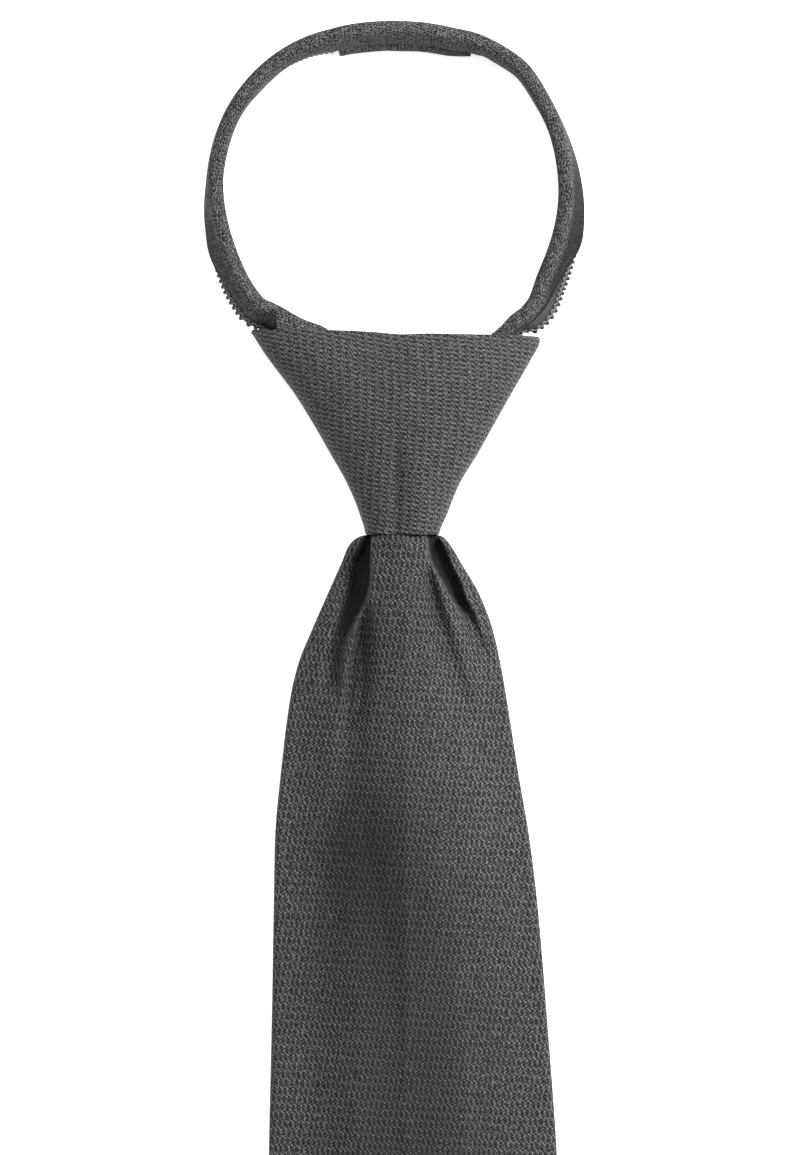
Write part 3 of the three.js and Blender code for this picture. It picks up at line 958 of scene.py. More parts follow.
@dataclass
class Tail:
    """The closed zipper behind the blade: two bands of cloth, the chain and the end's tab."""

    cloth: Material
    nylon: Material
    sections: Table = TAIL_SECTIONS
    start: float = -8.9
    end: float = -232
    thick: float = 2.4
    corner: float = 0.35  # exponent of the bands' section
    chain_half: float = 1.8
    chain_thick: float = 2
    overlap: float = 0.5  # how far each coil's heads pass the middle line
    gap: float = 0.3
    pitch: float = 1.25
    filament: float = 0.3
    tab_length: float = 9
    tab_half: float = 9.8
    tab_thick: float = 2.6
    tab_corner: float = 2
    tab_round: float = 6  # exponent of its rounding towards its edges
    tab_thinnest: float = 0.02  # of its thickness
    fade: float = 8  # how far beside the tail the blade still stands up
    slope: Span = (-24, -2)  # past the tail's end, where the blade comes down
    ripple: Swing = (0.12, 7.3)

    def strip(self, side: int) -> None:
        """Builds the cloth band on one side of the chain.

        Args:
            side: 1 for the right, -1 for the left.
        """
        y = np.linspace(self.start, self.end, 160)
        middle, under, half = (size[:, None] for size in self.sections.read("x under half", y))
        inner = self.chain_half + self.gap
        turn = np.linspace(0, 2 * math.pi, 32, endpoint=False)
        across = inner + (half - inner) / 2 * (1 + squared(np.cos(turn), self.corner))
        waved = ripple(y, *self.ripple, side)[:, None] * np.cos(turn)
        x = middle + side * (across + waved)
        z = under + self.thick / 2 * (1 + squared(np.sin(turn), self.corner))
        points = np.stack([x, np.broadcast_to(y[:, None], x.shape), z], axis=2)
        if side > 0:
            points = points[:, ::-1]
        node = "tail_band_right" if side > 0 else "tail_band_left"
        cloth = Cloth().skin(points, laid_round(points, y))
        keep(cloth.make(f"{node}_cloth", self.cloth), Slot.BAND_CLOTH, node)

    def chain(self) -> None:
        """Builds the two closed coils, each with its heads past the middle line."""
        cloth = Cloth()
        turns = (self.start - self.end) / self.pitch
        steps = int(turns * 12)
        phase = np.linspace(0, turns * 2 * math.pi, steps)
        y = np.linspace(self.start, self.end, steps)
        middle, under = self.sections.read("x under", y)
        reach = (self.chain_half + self.overlap) / 2 - self.filament
        height = self.chain_thick / 2 - self.filament
        for side in (-1, 1):
            turn = phase + (math.pi if side > 0 else 0)
            centre = middle + side * (self.chain_half - reach - self.filament)
            swing = np.stack([reach * np.cos(turn), 0 * y, height * np.sin(turn)], axis=1)
            core = np.stack([centre, y, under + self.thick / 2], axis=1)
            rings = tube(core + swing, swing, self.filament, 5)
            cloth.skin(rings, laid_round(rings, y))
        keep(cloth.make("tail_chain_coils", self.nylon), Slot.ZIP_COIL, "tail_chain")

    def tab(self) -> None:
        """Builds the folded cloth tab over the tail's end."""
        middle = self.sections.read("x", self.end)
        share, thick = np.linspace(-1, 1, 40), self.tab_thick / 2
        rings = []
        for t in np.linspace(0, 1, 16):
            corner = max(0.0, t * self.tab_length - self.tab_length + self.tab_corner)
            short = self.tab_corner - math.sqrt(max(0.0, self.tab_corner**2 - corner**2))
            puff = 1 - np.abs(share) ** self.tab_round
            puff = puff * (1 - max(0.0, 2 * t - 1) ** self.tab_round) ** 0.5
            swell = np.maximum(puff, self.tab_thinnest)
            x = middle + (self.tab_half - short) * share
            y = np.full_like(x, self.end - self.gap - t * self.tab_length)
            top = np.stack([x, y, thick * (1 + swell)], axis=1)
            low = np.stack([x, y, thick * (1 - swell)], axis=1)
            rings.append(np.concatenate([top, low[::-1]]))
        points = np.array(rings)
        laid = wrapped(points)[:, :, :2]
        cloth = Cloth().skin(points[:, ::-1], laid[:, ::-1])
        keep(cloth.make("tail_tab_cloth", self.cloth), Slot.BAND_CLOTH, "tail_tab")

    def top(self, x: Array, y: float) -> Array:
        """Gives the height that the tail lifts the blade to.

        Args:
            x: Places across the blade.
            y: The place along it.

        Returns:
            The heights, 0 away from the tail.
        """
        middle, under, half = self.sections.read("x under half", y)
        reach = self.end - self.tab_length
        off = np.abs(x - middle) - half - 1
        cover = np.where(off < 0, 1.0, bell(off, self.fade))
        lifted = under + self.tab_thick + self.gap
        return lifted * cover * ease(y - reach, *self.slope)

    def build(self) -> None:
        """Builds the tail's four pieces."""
        self.strip(-1)
        self.strip(1)
        self.chain()
        self.tab()


BLADE_SECTIONS = Table(
    "y left right rim flankL crest flankR thick",
    (-9, -5.6, 6.7, 8.5, 11.6, 12.4, 11.6, 5.6),
    (-23.6, -6, 7, 9, 12.9, 13.5, 12.9, 7),
    (-24.2, -8.9, 9.6, 9.2, 14.4, 15.2, 14.4, 7.2),
    (-25.1, -10.5, 10.6, 8.9, 15, 16, 15, 7.6),
    (-26.8, -11.9, 11.9, 8, 14.3, 15.3, 14.3, 7.6),
    (-30, -13.2, 13.8, 6.8, 13, 14.2, 13.1, 7.2),
    (-37.6, -16.6, 18.2, 5.6, 11.2, 13, 11.4, 6.2),
    (-45.6, -20.1, 21.2, 4.6, 9.9, 11.8, 10.2, 5),
    (-53.6, -23.3, 23, 4, 8.6, 10.6, 9, 4),
    (-61.6, -25.1, 24.4, 3.5, 7.6, 9.6, 8, 3.4),
    (-77.5, -27.1, 26.9, 3.1, 5.8, 8.2, 6.4, 3),
    (-93.5, -28.5, 29.6, 3, 4.6, 7.2, 5.9, 3),
    (-109.4, -28.8, 31.5, 3, 4, 6.6, 5.4, 3),
    (-133.4, -29.2, 33.5, 3, 3.5, 6.1, 4.8, 3),
    (-165, -29.9, 35.8, 3, 3.2, 5.7, 4.4, 3),
    (-240, -31, 39.4, 3, 3.1, 5.7, 3.1, 3),
    (-262, -31.3, 40.4, 3, 3, 3.3, 3, 3),
    (-300, -31.9, 42.2, 3, 3, 3, 3, 3),
    (-437, -34, 48, 3, 3, 3, 3, 3),
)
BLADE_HOLLOWS = (
    Hollow(
        (2.2, 5),
        (-21, -6.8, 5, 1, 0.6),
        (-24.4, -7, 5.5, 1.1, 0.6),
        (-29.6, -7.8, 6.6, 2.6, 1.1),
        (-34.2, -8.4, 6.6, 3.4, 1.6),
        (-38.8, -9.8, 6.2, 3, 1.9),
        (-43.3, -12, 5, 2.2, 1.8),
        (-47.9, -13.8, 3, 2, 1.6),
        (-55, -15.4, 2.1, 2.6, 2),
        (-66, -16.5, 0, 3.4, 3),
    ),
    Hollow(
        (3, 2.2),
        (-37, -7.2, 0, 0.5, 0.8),
        (-43.3, -8.4, 2.7, 1, 2),
        (-48, -9.2, 3.2, 1.2, 2.8),
        (-57, -10.4, 3.1, 1.5, 3.4),
        (-66, -11.4, 2, 2, 3.8),
        (-75, -12, 1, 2.6, 4.2),
        (-90, -12, 0, 3, 5),
    ),
    Hollow(
        (4, 4),
        (-21, 7.2, 5, 0.8, 1),
        (-24.4, 7.6, 5.5, 1.4, 1.3),
        (-29.6, 9.1, 6.4, 2, 1.8),
        (-34.2, 11.3, 6.2, 1.8, 1.8),
        (-38.8, 13.6, 5.4, 1.4, 1.3),
        (-42, 15.4, 3, 1.3, 1.3),
        (-48, 17.1, 1.3, 1.8, 1.8),
        (-56, 18.8, 0, 2.5, 2.5),
    ),
    Hollow(
        (2.2, 3),
        (-28, 6.3, 0, 0.5, 0.6),
        (-34.2, 6.8, 1.8, 1, 1.1),
        (-38.8, 7.6, 2.4, 1.6, 1.6),
        (-48, 9.6, 2.1, 2.9, 2.6),
        (-57, 12.2, 1.5, 3.4, 2.8),
        (-68, 15, 0.5, 4, 3.4),
        (-80, 17, 0, 4, 4),
    ),
)
# Painted shade on the blade: a broad darker band that stands for the light falling off across its
# face.
BLADE_SHADE = Table(
    "y x dark left right",
    (-28, -4, 0, 20, 20),
    (-50, -7, 0.25, 16, 16),
    (-66, -7, 0.25, 16, 16),
    (-77.5, -7, 0.4, 14, 13),
    (-95.8, -8.7, 0.78, 13, 17),
    (-111.7, -4, 0.68, 18, 19),
    (-130, 0, 0.55, 24, 20),
    (-148, 4, 0.52, 27, 18),
    (-165, 4, 0.54, 27, 18),
    (-240, 4, 0.45, 27, 18),
    (-478, 7, 0.3, 30, 20),
)


@dataclass
class Blade:
    """The blade: a lined strip folded flat, gathered where it leaves the knot."""

    tail: Tail
    material: Material
    sections: Table = BLADE_SECTIONS
    hollows: tuple[Hollow, ...] = BLADE_HOLLOWS
    shade: Table = BLADE_SHADE
    shoulder: float = -437
    tip: float = -478
    spans: tuple[tuple[float, float, int], ...] = (  # from, to and how many rows
        (-9, -22, 8),
        (-22, -27, 24),
        (-27, -75, 90),
        (-75, -140, 56),
        (-140, -240, 34),
        (-240, -270, 20),
        (-270, -437, 48),
    )
    tip_rows: int = 40
    tip_short: float = 0.7  # that the last row stops before the point
    front_columns: int = 150
    back_columns: int = 50
    roll_steps: int = 5  # columns in the roll of each edge
    thick: float = 3
    thinnest: float = 1.4
    fill: float = 0.35
    seam_depth: float = 0.5
    seam_half: float = 0.7
    fold_span: Span = (0.9, 5.5)  # the depths over which a fold's painted shade sets in
    painted_fold_shade: float = 0.9
    dip: Mound = (0.9, -24, 2.2)  # along the blade, under the knot
    dip_across: tuple[float, float, float] = (3.7, 2.3, 4)  # its middle, half width and exponent
    ridge: Mound = (0.3, 1.4, 1.5)  # across, the soft ridge down the middle
    ridge_span: Span = (-28, -50)
    tail_from: float = -60  # below this the tail lifts the blade

    def rows(self) -> Array:
        """Gives the places of the rows, closest where the blade is gathered."""
        spans = [np.linspace(*span, endpoint=False) for span in self.spans]
        end = np.linspace(self.shoulder, self.tip + self.tip_short, self.tip_rows)
        return np.concatenate([*spans, end])

    def sides(self, y: float) -> tuple[float, float]:
        """Gives the blade's left and right edges.

        Args:
            y: The place along the blade.

        Returns:
            Their x.
        """
        left, right = self.sections.read("left right", max(y, self.shoulder))
        share = max(0.0, (self.shoulder - y) / (self.shoulder - self.tip))
        middle = (left + right) / 2
        return left + share * (middle - left), right + share * (middle - right)

    def pressed(self, x: Array, y: float) -> Array:
        """Gives how far all the valleys together press the front in."""
        return sum((hollow.depth(x, y) for hollow in self.hollows), np.zeros_like(x))

    def folded(self, points: Array) -> Array:
        """Gives the painted shade of a section, in its folds and in the broad shade across it.

        Args:
            points: The section's points.

        Returns:
            The painted shade of each, from 0 to 1.
        """
        x, y = points[:, 0], points[0, 1]
        middle, dark, left, right = self.shade.read("x dark left right", y)
        broad = dark * bell(x - middle, np.where(x < middle, left, right))
        # painted shade in the deep folds
        fold = self.painted_fold_shade * ease(self.pressed(x, y), *self.fold_span)
        shade = 1 - (1 - broad) * (1 - fold)
        shade[self.front_columns :] = 0
        return shade

    def heights(self, x: Array, y: float) -> tuple[Array, Array]:
        """Gives the blade's two faces.

        Args:
            x: Places across the blade.
            y: The place along it.

        Returns:
            The heights of the front and of the back.
        """
        left, right = self.sides(max(y, self.shoulder))
        values = np.array(self.sections.read("rim flankL crest flankR rim", y))
        thick = self.sections.read("thick", y)
        tail = self.tail.top(x, y)
        plain = smooth(np.linspace(-1, 1, 5), values, (2 * x - left - right) / (right - left))
        if y < self.tail_from:
            plain = np.maximum(plain, tail + thick)
        middle, *bent = self.dip_across
        dip = mound(y, *self.dip) * bell(x - middle, *bent)
        ridge = mound(x, *self.ridge) * ease(y, *self.ridge_span)
        under = np.maximum(np.maximum(tail, plain - thick), 0)
        top = np.maximum(plain - (self.pressed(x, y) + dip - ridge), under + self.thinnest)
        return top, np.maximum(np.maximum(np.minimum(under, top - self.thick), tail), 0)

    def roll(self, y: float) -> tuple[float, float, float]:
        """Gives the edges of the blade's flat part, and the reach of the rolls beside it."""
        left, right = self.sides(y)
        reach = min(self.thick / 2, (right - left) / 5)
        return left + reach, right - reach, reach

    def across(self, y: float, count: int) -> Array:
        """Gives places across a face, closer together in the rolls.

        Args:
            y: The place along the blade.
            count: How many.

        Returns:
            Their x, from the left.
        """
        low, high, reach = self.roll(y)
        turn = np.linspace(0, math.pi / 2, self.roll_steps + 1)[:-1]
        lead = low - reach * np.cos(turn)
        inner = np.linspace(low, high, count - 2 * self.roll_steps)
        return np.concatenate([lead, inner, (low + high) - lead[::-1]])

    def puffed(self, x: Array, y: float, sign: int) -> Array:
        """Gives the heights of a face, drawn together in the rolls.

        Args:
            x: Places across the blade.
            y: The place along it.
            sign: 1 for the front, -1 for the back.

        Returns:
            The heights.
        """
        low, high, reach = self.roll(y)
        top, under = self.heights(np.clip(x, low, high), y)
        out = np.clip(np.maximum(low - x, x - high) / reach, 0, 1)
        return (top + under) / 2 + sign * ((top - under) / 2 * np.sqrt(1 - out * out))

    def section(self, y: float) -> Array:
        """Gives the points round the blade at one place: the front from the left, then the back.

        Args:
            y: The place along the blade.

        Returns:
            Points by 3.
        """
        front, back = self.across(y, self.front_columns), self.across(y, self.back_columns)[1:-1]
        seam = self.seam_depth * bell(back - sum(self.sides(y)) / 2, self.seam_half)
        x = np.concatenate([front, back[::-1]])
        z = np.concatenate([self.puffed(front, y, 1), (self.puffed(back, y, -1) + seam)[::-1]])
        return np.stack([x, np.full_like(x, y), z], axis=1)

    def build(self) -> None:
        """Builds the blade."""
        rows = self.rows()
        points = np.array([self.section(y) for y in rows])
        # painted shade of each point, in the folds and the broad shade
        fold = np.array([self.folded(section) for section in points])
        laid = laid_round(points, rows)
        middle = self.front_columns // 2
        laid[:, :, 0] += (points[:, middle, 0] - laid[:, middle, 0])[:, None]
        piece = Cloth().skin(points, laid).make("blade_cloth", self.material, fold)
        keep(piece, Slot.TIE_CLOTH, "front_blade")


LOOP_SECTIONS = Table(
    "angle radius lift lean innerLip outerLip",
    (-82, 58.5, 1.9, 6, 6.6, 6.6),
    (-78, 55.4, 2, 9, 6.6, 6.4),
    (-72, 51.5, 1.9, 15, 6.6, 5.8),
    (-64, 47, 1.8, 26, 6.6, 5),
    (-58, 44.6, 1.7, 30, 6.6, 5),
    (-52, 42.7, 1.7, 20, 6.8, 5.1),
    (-47, 42.2, 1.6, 20, 6.9, 5.2),
    (-43.5, 43, 1.3, 29, 7, 5.3),
    (-40, 43.2, 0.8, 33, 7, 5.4),
    (-30, 41.7, 0, 34, 7.2, 6.8),
    (-20, 41, 0, 28, 7.4, 8.4),
    (-5, 40.6, 0, 21, 7.6, 8.8),
    (15, 39.8, 0, 9, 8.2, 8.6),
    (30, 39.5, 0, 1, 8.7, 7.4),
    (42, 39.9, 0, -3, 8.7, 7),
    (52, 38.9, 0, -8, 8.4, 6.6),
    (60, 37.9, 0, -13, 6.6, 6.2),
    (70, 36.1, 0, -21, 6.2, 6.2),
    (90, 35.1, 0, -24, 6.2, 6.2),
    (110, 35.9, 0, -23, 6.2, 6.2),
    (122, 37.4, 0, -16, 6.7, 6.4),
    (140, 39.2, 0, -7, 7.3, 6.8),
    (158, 40.3, 0, 0, 8, 7.4),
    (172, 40.5, 0, 3, 8.2, 8.4),
    (185, 40.8, 0, 12, 7.8, 8.8),
    (200, 41.2, 0, 23, 7.4, 8.8),
    (214, 41.9, 0.6, 30, 7.2, 8),
    (220.5, 42.1, 1.2, 33, 7, 7.2),
    (227, 40.6, 1.7, 32, 6.9, 6.8),
    (232, 40.6, 1.7, 30, 6.8, 6.2),
    (238, 41.9, 1.7, 28, 6.6, 5.6),
    (245, 44.8, 1.8, 22, 6.6, 5.2),
    (253, 49.6, 1.9, 15, 6.6, 5.8),
    (260, 54.2, 2, 9, 6.6, 6.4),
    (265.5, 58.4, 1.9, 6, 6.6, 6.6),
)


@dataclass
class Loop:
    """The path of the neck band, and the way it leans round it."""

    sections: Table = LOOP_SECTIONS
    centre: tuple[float, float] = (-1.6, 54.7)
    depth: float = 9.7
    thick: float = 3.4
    bow: float = 0.35  # how far the outer face curves in where the band leans out
    flare: float = 1.2  # how far the open edge bends out there
    bow_lean: Span = (4, 18)  # degrees
    flare_lean: Span = (16, 30)
    bow_ends: tuple[Span, Span] = ((-46, -28), (236, 220))
    flare_ends: tuple[Span, Span] = ((-48, -43), (232, 224))

    @property
    def first(self) -> float:
        """The angle where the band leaves the slider on the right."""
        return float(self.sections.place[0])

    @property
    def last(self) -> float:
        """The angle where the band comes back to the slider on the left."""
        return float(self.sections.place[-1])

    def point(self, angle: Array) -> Array:
        """Gives the path's points at some angles."""
        turn, radius = np.radians(angle), self.sections.read("radius", angle)
        x, y = self.centre
        return np.stack([x + radius * np.cos(turn), y + radius * np.sin(turn)], axis=1)

    def place(self, angle: Array, depth: Array, thick: Array) -> Array:
        """Puts points of the band's section on the tie.

        Args:
            angle: Stations round the loop.
            depth: From the band's fold down towards the coil, stations by points.
            thick: From the inner face to the outer one, stations by points.

        Returns:
            Stations by points by 3.
        """
        along = self.point(angle + 0.5) - self.point(angle - 0.5)
        along /= np.linalg.norm(along, axis=1, keepdims=True)
        out = np.stack([along[:, 1], -along[:, 0], np.zeros(len(angle))], axis=1)
        down = np.array([0.0, 0.0, -1.0])
        leaning, lift = self.sections.read("lean lift", angle)
        lean = np.radians(leaning)[:, None]
        deep = down * np.cos(lean) + out * np.sin(lean)
        wide = out * np.cos(lean) - down * np.sin(lean)
        rise = lift[:, None] + self.thick / 2 * np.abs(np.sin(lean)) + self.depth * np.cos(lean)
        base = np.concatenate([self.point(angle), rise], axis=1)
        base -= out * (self.depth / 2 * np.sin(lean))
        share = depth / self.depth
        bow = self.bow * ease(leaning, *self.bow_lean) * within(angle, *self.bow_ends)
        flare = self.flare * ease(leaning, *self.flare_lean) * within(angle, *self.flare_ends)
        bent = thick - bow[:, None] * np.sin(math.pi * share) + flare[:, None] * share**3
        return base[:, None] + deep[:, None] * depth[:, :, None] + wide[:, None] * bent[:, :, None]

    def run(self, angle: Array) -> Array:
        """Gives the distance along the path at each of some rising angles."""
        steps = np.linalg.norm(np.diff(self.point(angle), axis=0), axis=1)
        return np.concatenate([[0], np.cumsum(steps)])

    def even(self, first: float, last: float, count: int) -> Array:
        """Gives angles that are evenly spaced along the path.

        Args:
            first: The first angle.
            last: The last angle.
            count: How many.

        Returns:
            The angles.
        """
        fine = np.linspace(first, last, 900)
        run = self.run(fine)
        return np.interp(np.linspace(0, run[-1], count), run, fine)


@dataclass
class NeckBand:
    """Cloth folded round the zipper tape, with the tape and the coil along its open edge."""

    loop: Loop
    cloth: Material
    ribbon: Material
    nylon: Material
    wall: float = 1
    bottom: float = 1.3  # how deep the round of the fold is
    tape_thick: float = 0.8
    tape_start: float = 1.5
    tape_end: float = 8.8
    tape_split: float = 86
    tape_gap: float = 0.3  # beside the split, in degrees
    coil_from: float = 60.4
    coil_to: float = 111.6
    coil_pitch: float = 1.25
    coil_depth: float = 2.1
    coil_thick: float = 1.7
    coil_steps: int = 14  # to a turn
    filament: float = 0.29
    head_swell: float = 0.2
    stitch_reach: float = 0.45
    stitch_radius: float = 0.14
    stitch_past: float = 0.15  # of its middle line, past the back of the coil
    stitch_sunk: float = 0.05  # into the coil's face
    bridge_from: float = 61
    bridge_to: float = 111
    bridge_margin: Span = (5, 2)  # beside it, degrees over which the inner hem comes back up
    bridge_lip: float = 0.3  # from the band's hems to its own lower edge
    bridge_ends: tuple[float, float] = (4, 1.5)  # degrees over which each end grows thick
    bridge_thin: float = 0.86  # of its thickness, at its ends
    bridge_swell: float = 0.12
    bridge_ripples: tuple[Swing, Swing] = ((0.1, 2.2), (0.07, 1.9))  # of its top and its faces
    bridge_depth: float = 9.9
    bridge_thick: float = 3.4
    bridge_hang: float = 0.4  # that its lower edge stands further in
    bridge_wall: float = 0.4  # at the bottom of its slot
    hem: float = 5.2  # from the fold to the inner face's hem beside the bridge
    hem_lean: Span = (-4, -14)
    hem_rise: float = 0.8  # of the outer face's hem above the coil, near the knot
    rise_left: Span = (196, 208)
    rise_right: Span = (-15, -27)
    hem_ripples: tuple[Swing, Swing] = ((0.12, 3.1), (0.12, 2.7, 1))  # of the inner and the outer
    swell: float = 0.22  # of each face, between its hem and the fold
    swell_ripple: Swing = (0.06, 4.3)
    taper: float = 0.75  # that the outer face comes in towards the tape at its hem
    taper_reach: float = 2.5
    # painted shade darkens the band's faces below the fold, and painted light lightens it in two
    # places
    shade_right: float = 0.8  # painted shade of the outer face below the fold, on the right
    shade_left: float = 0.35
    shade_inside: float = 0.1
    shade_lean: Span = (6, 18)
    shade_depth: Span = (1.4, 3.6)
    shade_end: Span = (226, 212)
    painted_light_top: Mound = (0.14, 88, 26)  # painted light on the band at the back of the neck
    painted_light_left: Mound = (0.4, 229, 9)  # painted light on the cloth before the left tuck, lightening its shade

    def sweep(
        self,
        name: str,
        material: Material,
        angle: Array,
        section: tuple[Array, Array],
        shade: Array | None = None,
    ) -> Piece:
        """Sweeps a closed section round the loop.

        Args:
            name: The piece's name.
            material: Its finish.
            angle: The stations, as a column.
            section: Depths and thicknesses, stations by points.
            shade: The painted shade of each point, 1 at most, and below 0 where painted light
                lightens it.

        Returns:
            The object.
        """
        points = self.loop.place(angle[:, 0], *section)
        laid = laid_round(points, self.loop.run(angle[:, 0]))
        fold = int(np.argmin(section[0][0]))
        laid[:, :, 0] -= laid[:, fold : fold + 1, 0].copy()
        return Cloth().skin(points, laid).make(name, material, shade)

    def cover(self) -> None:
        """Builds the folded cloth."""
        loop, half, bottom = self.loop, self.loop.thick / 2, self.bottom
        angle = loop.even(loop.first, loop.last, 300)[:, None]
        slot = half - self.wall
        lean, inner, outer = loop.sections.read("lean innerLip outerLip", angle)
        low, high = self.bridge_from, self.bridge_to
        far, near = self.bridge_margin
        bridged = within(angle, (low - far, low - near), (high + far, high + near))
        inner += (self.hem - inner) * ease(lean, *self.hem_lean) * (1 - bridged)
        inner += ripple(angle, *self.hem_ripples[0])
        risen = ease(angle, *self.rise_left) + ease(angle, *self.rise_right)
        outer += ripple(angle, *self.hem_ripples[1]) - self.hem_rise * risen
        share = np.linspace(1, 0, 25)[None, :]
        fold = np.linspace(-math.pi / 2, math.pi / 2, 11)[None, 1:-1]
        tip = np.linspace(0, math.pi, 6)[None, 1:-1]
        puff = half + self.swell * np.sin(math.pi * share)
        puff = puff + ripple(angle, *self.swell_ripple) * share
        spots = bottom + (outer - bottom) * share[:, ::-1]
        taper = self.taper * ease(spots, outer - self.taper_reach, outer) * risen
        rim, round_tip = (half + slot) / 2, self.wall / 2 * np.cos(tip)
        depth, thick = joined(
            angle,
            (bottom + (inner - bottom) * share, -puff),
            (bottom - bottom * np.cos(fold), half * np.sin(fold)),
            (spots, puff[:, ::-1] - taper),
            (
                outer + self.wall / 2 * np.sin(tip),
                rim + round_tip - taper[:, -1:] * (1 + np.cos(tip)) / 2,
            ),
            (bottom + (outer - bottom) * share[:, ::6], slot),
            (bottom + (inner - bottom) * share[:, ::-6], -slot),
            (inner + self.wall / 2 * np.sin(tip), round_tip - rim),
        )
        # painted shade on the faces below the fold, weaker on the inner face
        left = self.shade_left * ease(angle, *self.shade_end)
        dark = np.where(angle < self.tape_split, self.shade_right, left)
        outside = dark * ease(lean, *self.shade_lean)
        inside = self.shade_inside * ease(-lean, *self.shade_lean)
        # painted light at the back of the neck and before the left tuck, taken off the painted
        # shade
        painted_light = mound(angle, *self.painted_light_top) + mound(angle, *self.painted_light_left)
        shade = np.where(thick > 0, outside, inside) * ease(depth, *self.shade_depth) - painted_light
        piece = self.sweep("band_cloth", self.cloth, angle, (depth, thick), shade)
        keep(piece, Slot.BAND_CLOTH, "neck_band")

    def tape(self, name: str, first: float, last: float) -> None:
        """Builds one side's tape.

        Args:
            name: The CAD node that it stands for.
            first: Its first angle.
            last: Its last angle.
        """
        angle, half = self.loop.even(first, last, 150)[:, None], self.tape_thick / 2
        deep = np.linspace(self.tape_start, self.tape_end, 12)[None, :]
        section = joined(angle, (deep, half), (deep[:, ::-1], -half))
        keep(self.sweep(f"{name}_cloth", self.ribbon, angle, section), Slot.ZIP_TAPE, name)

    def coil(self, name: str, first: float, last: float) -> None:
        """Builds one side's coil: a flattened spring of monofilament with swollen heads.

        Args:
            name: The CAD node that it stands for.
            first: Its first angle.
            last: Its last angle.
        """
        length = self.loop.run(self.loop.even(first, last, 600))[-1]
        turns = round(length / self.coil_pitch)
        steps = turns * self.coil_steps
        angle = self.loop.even(first, last, steps)
        phase = np.linspace(0, turns * 2 * math.pi, steps)
        radius = self.filament * (1 + self.head_swell * (0.5 + 0.5 * np.cos(phase)) ** 4)
        middle = np.full(steps, self.loop.depth - self.coil_depth / 2)
        depth = middle + (self.coil_depth / 2 - self.filament) * np.cos(phase)
        thick = (self.coil_thick / 2 - self.filament) * np.sin(phase)
        path = self.loop.place(angle, depth[:, None], thick[:, None])[:, 0]
        core = self.loop.place(angle, middle[:, None], np.zeros((steps, 1)))[:, 0]
        rings = tube(path, path - core, radius, 6)
        cloth = Cloth().skin(rings, laid_round(rings, phase))
        for face in (-1, 1):
            self.stitches(cloth, angle[::2], phase[::2], face)
        keep(cloth.make(f"{name}_nylon", self.nylon), Slot.ZIP_COIL, name)

    def stitches(self, cloth: Cloth, angle: Array, phase: Array, face: int) -> None:
        """Adds the zigzag of sewing thread that holds the coil to the tape.

        Args:
            cloth: The mesh that it joins.
            angle: Stations along the coil.
            phase: The coil's turn at each of them.
            face: 1 for the outer face, -1 for the inner one.
        """
        zigzag = np.arcsin(np.sin(phase)) / (math.pi / 2)
        middle = self.loop.depth - self.coil_depth + self.stitch_past
        depth = (middle + self.stitch_reach * zigzag)[:, None]
        thick = np.full_like(depth, face * (self.coil_thick / 2 - self.stitch_sunk))
        path = self.loop.place(angle, depth, thick)[:, 0]
        side = self.loop.place(angle, depth, thick + 1)[:, 0] - path
        rings = tube(path, side, self.stitch_radius, 5)
        laid = laid_round(rings, phase)
        laid[:, :, 0] += STITCH_PLACE
        cloth.skin(rings, laid)

    def bridge(self) -> None:
        """Builds the binding over the joined zipper ends at the back of the neck."""
        first, last, bottom = self.bridge_from, self.bridge_to, self.bottom
        angle = self.loop.even(first, last, 90)[:, None]
        low = np.maximum(*self.loop.sections.read("innerLip outerLip", angle)) + self.bridge_lip
        start, stop = self.bridge_ends
        end = within(angle, (first, first + start), (last, last - stop))
        turn = np.linspace(-math.pi / 2, math.pi / 2, 13)[None, :]
        top_ripple, face_ripple = self.bridge_ripples
        high = self.bridge_depth - bottom + ripple(angle, *top_ripple)
        share = np.linspace(0, 1, 6)[None, :]
        wide = self.bridge_thick / 2 * (self.bridge_thin + (1 - self.bridge_thin) * end)
        swell = self.bridge_swell * np.sin(math.pi * share) + ripple(angle, *face_ripple)
        swell = wide + swell
        slot, floor = self.tape_thick / 2 + 0.3, high - self.bridge_wall
        down = low + (high - low) * share
        depth, thick = joined(
            angle,
            (down, -(swell + self.bridge_hang * share)),
            (high + bottom * np.cos(turn), (wide + self.bridge_hang * (turn < 0)) * np.sin(turn)),
            (down[:, ::-1], swell[:, ::-1]),
            (low, slot),
            (floor, slot),
            (floor, -slot),
            (low, -slot),
        )
        section = depth[:, ::-1], thick[:, ::-1]
        piece = self.sweep("bridge_cloth", self.cloth, angle, section)
        keep(piece, Slot.BAND_CLOTH, "back_bridge")

    def build(self) -> None:
        """Builds the band's pieces."""
        first, last, split = self.loop.first, self.loop.last, self.tape_split
        self.cover()
        self.tape("zip_tape_right", first, split - self.tape_gap)
        self.tape("zip_tape_left", split + self.tape_gap, last)
        self.coil("zip_coil_right", first, self.coil_from)
        self.coil("zip_coil_left", self.coil_to, last)
        self.bridge()


LEFT_TUCK = Table(
    "x rearY rearZ frontY frontZ",
    (-28, 27.9, 12.2, 20.6, 12.8),
    (-26, 26.9, 12.2, 20.4, 13),
    (-23.9, 25.6, 12, 20, 13.2),
    (-21.2, 24.2, 11.6, 19.6, 13.2),
    (-18, 23, 11.2, 19.2, 13.2),
    (-16.4, 22.3, 11.4, 19, 13),
)
RIGHT_TUCK = Table(
    "x rearY rearZ frontY frontZ",
    (20.8, 21.4, 12.4, 19, 13),
    (22.8, 22.9, 12.4, 19.4, 13.1),
    (24.9, 24.2, 12.4, 20, 13),
)


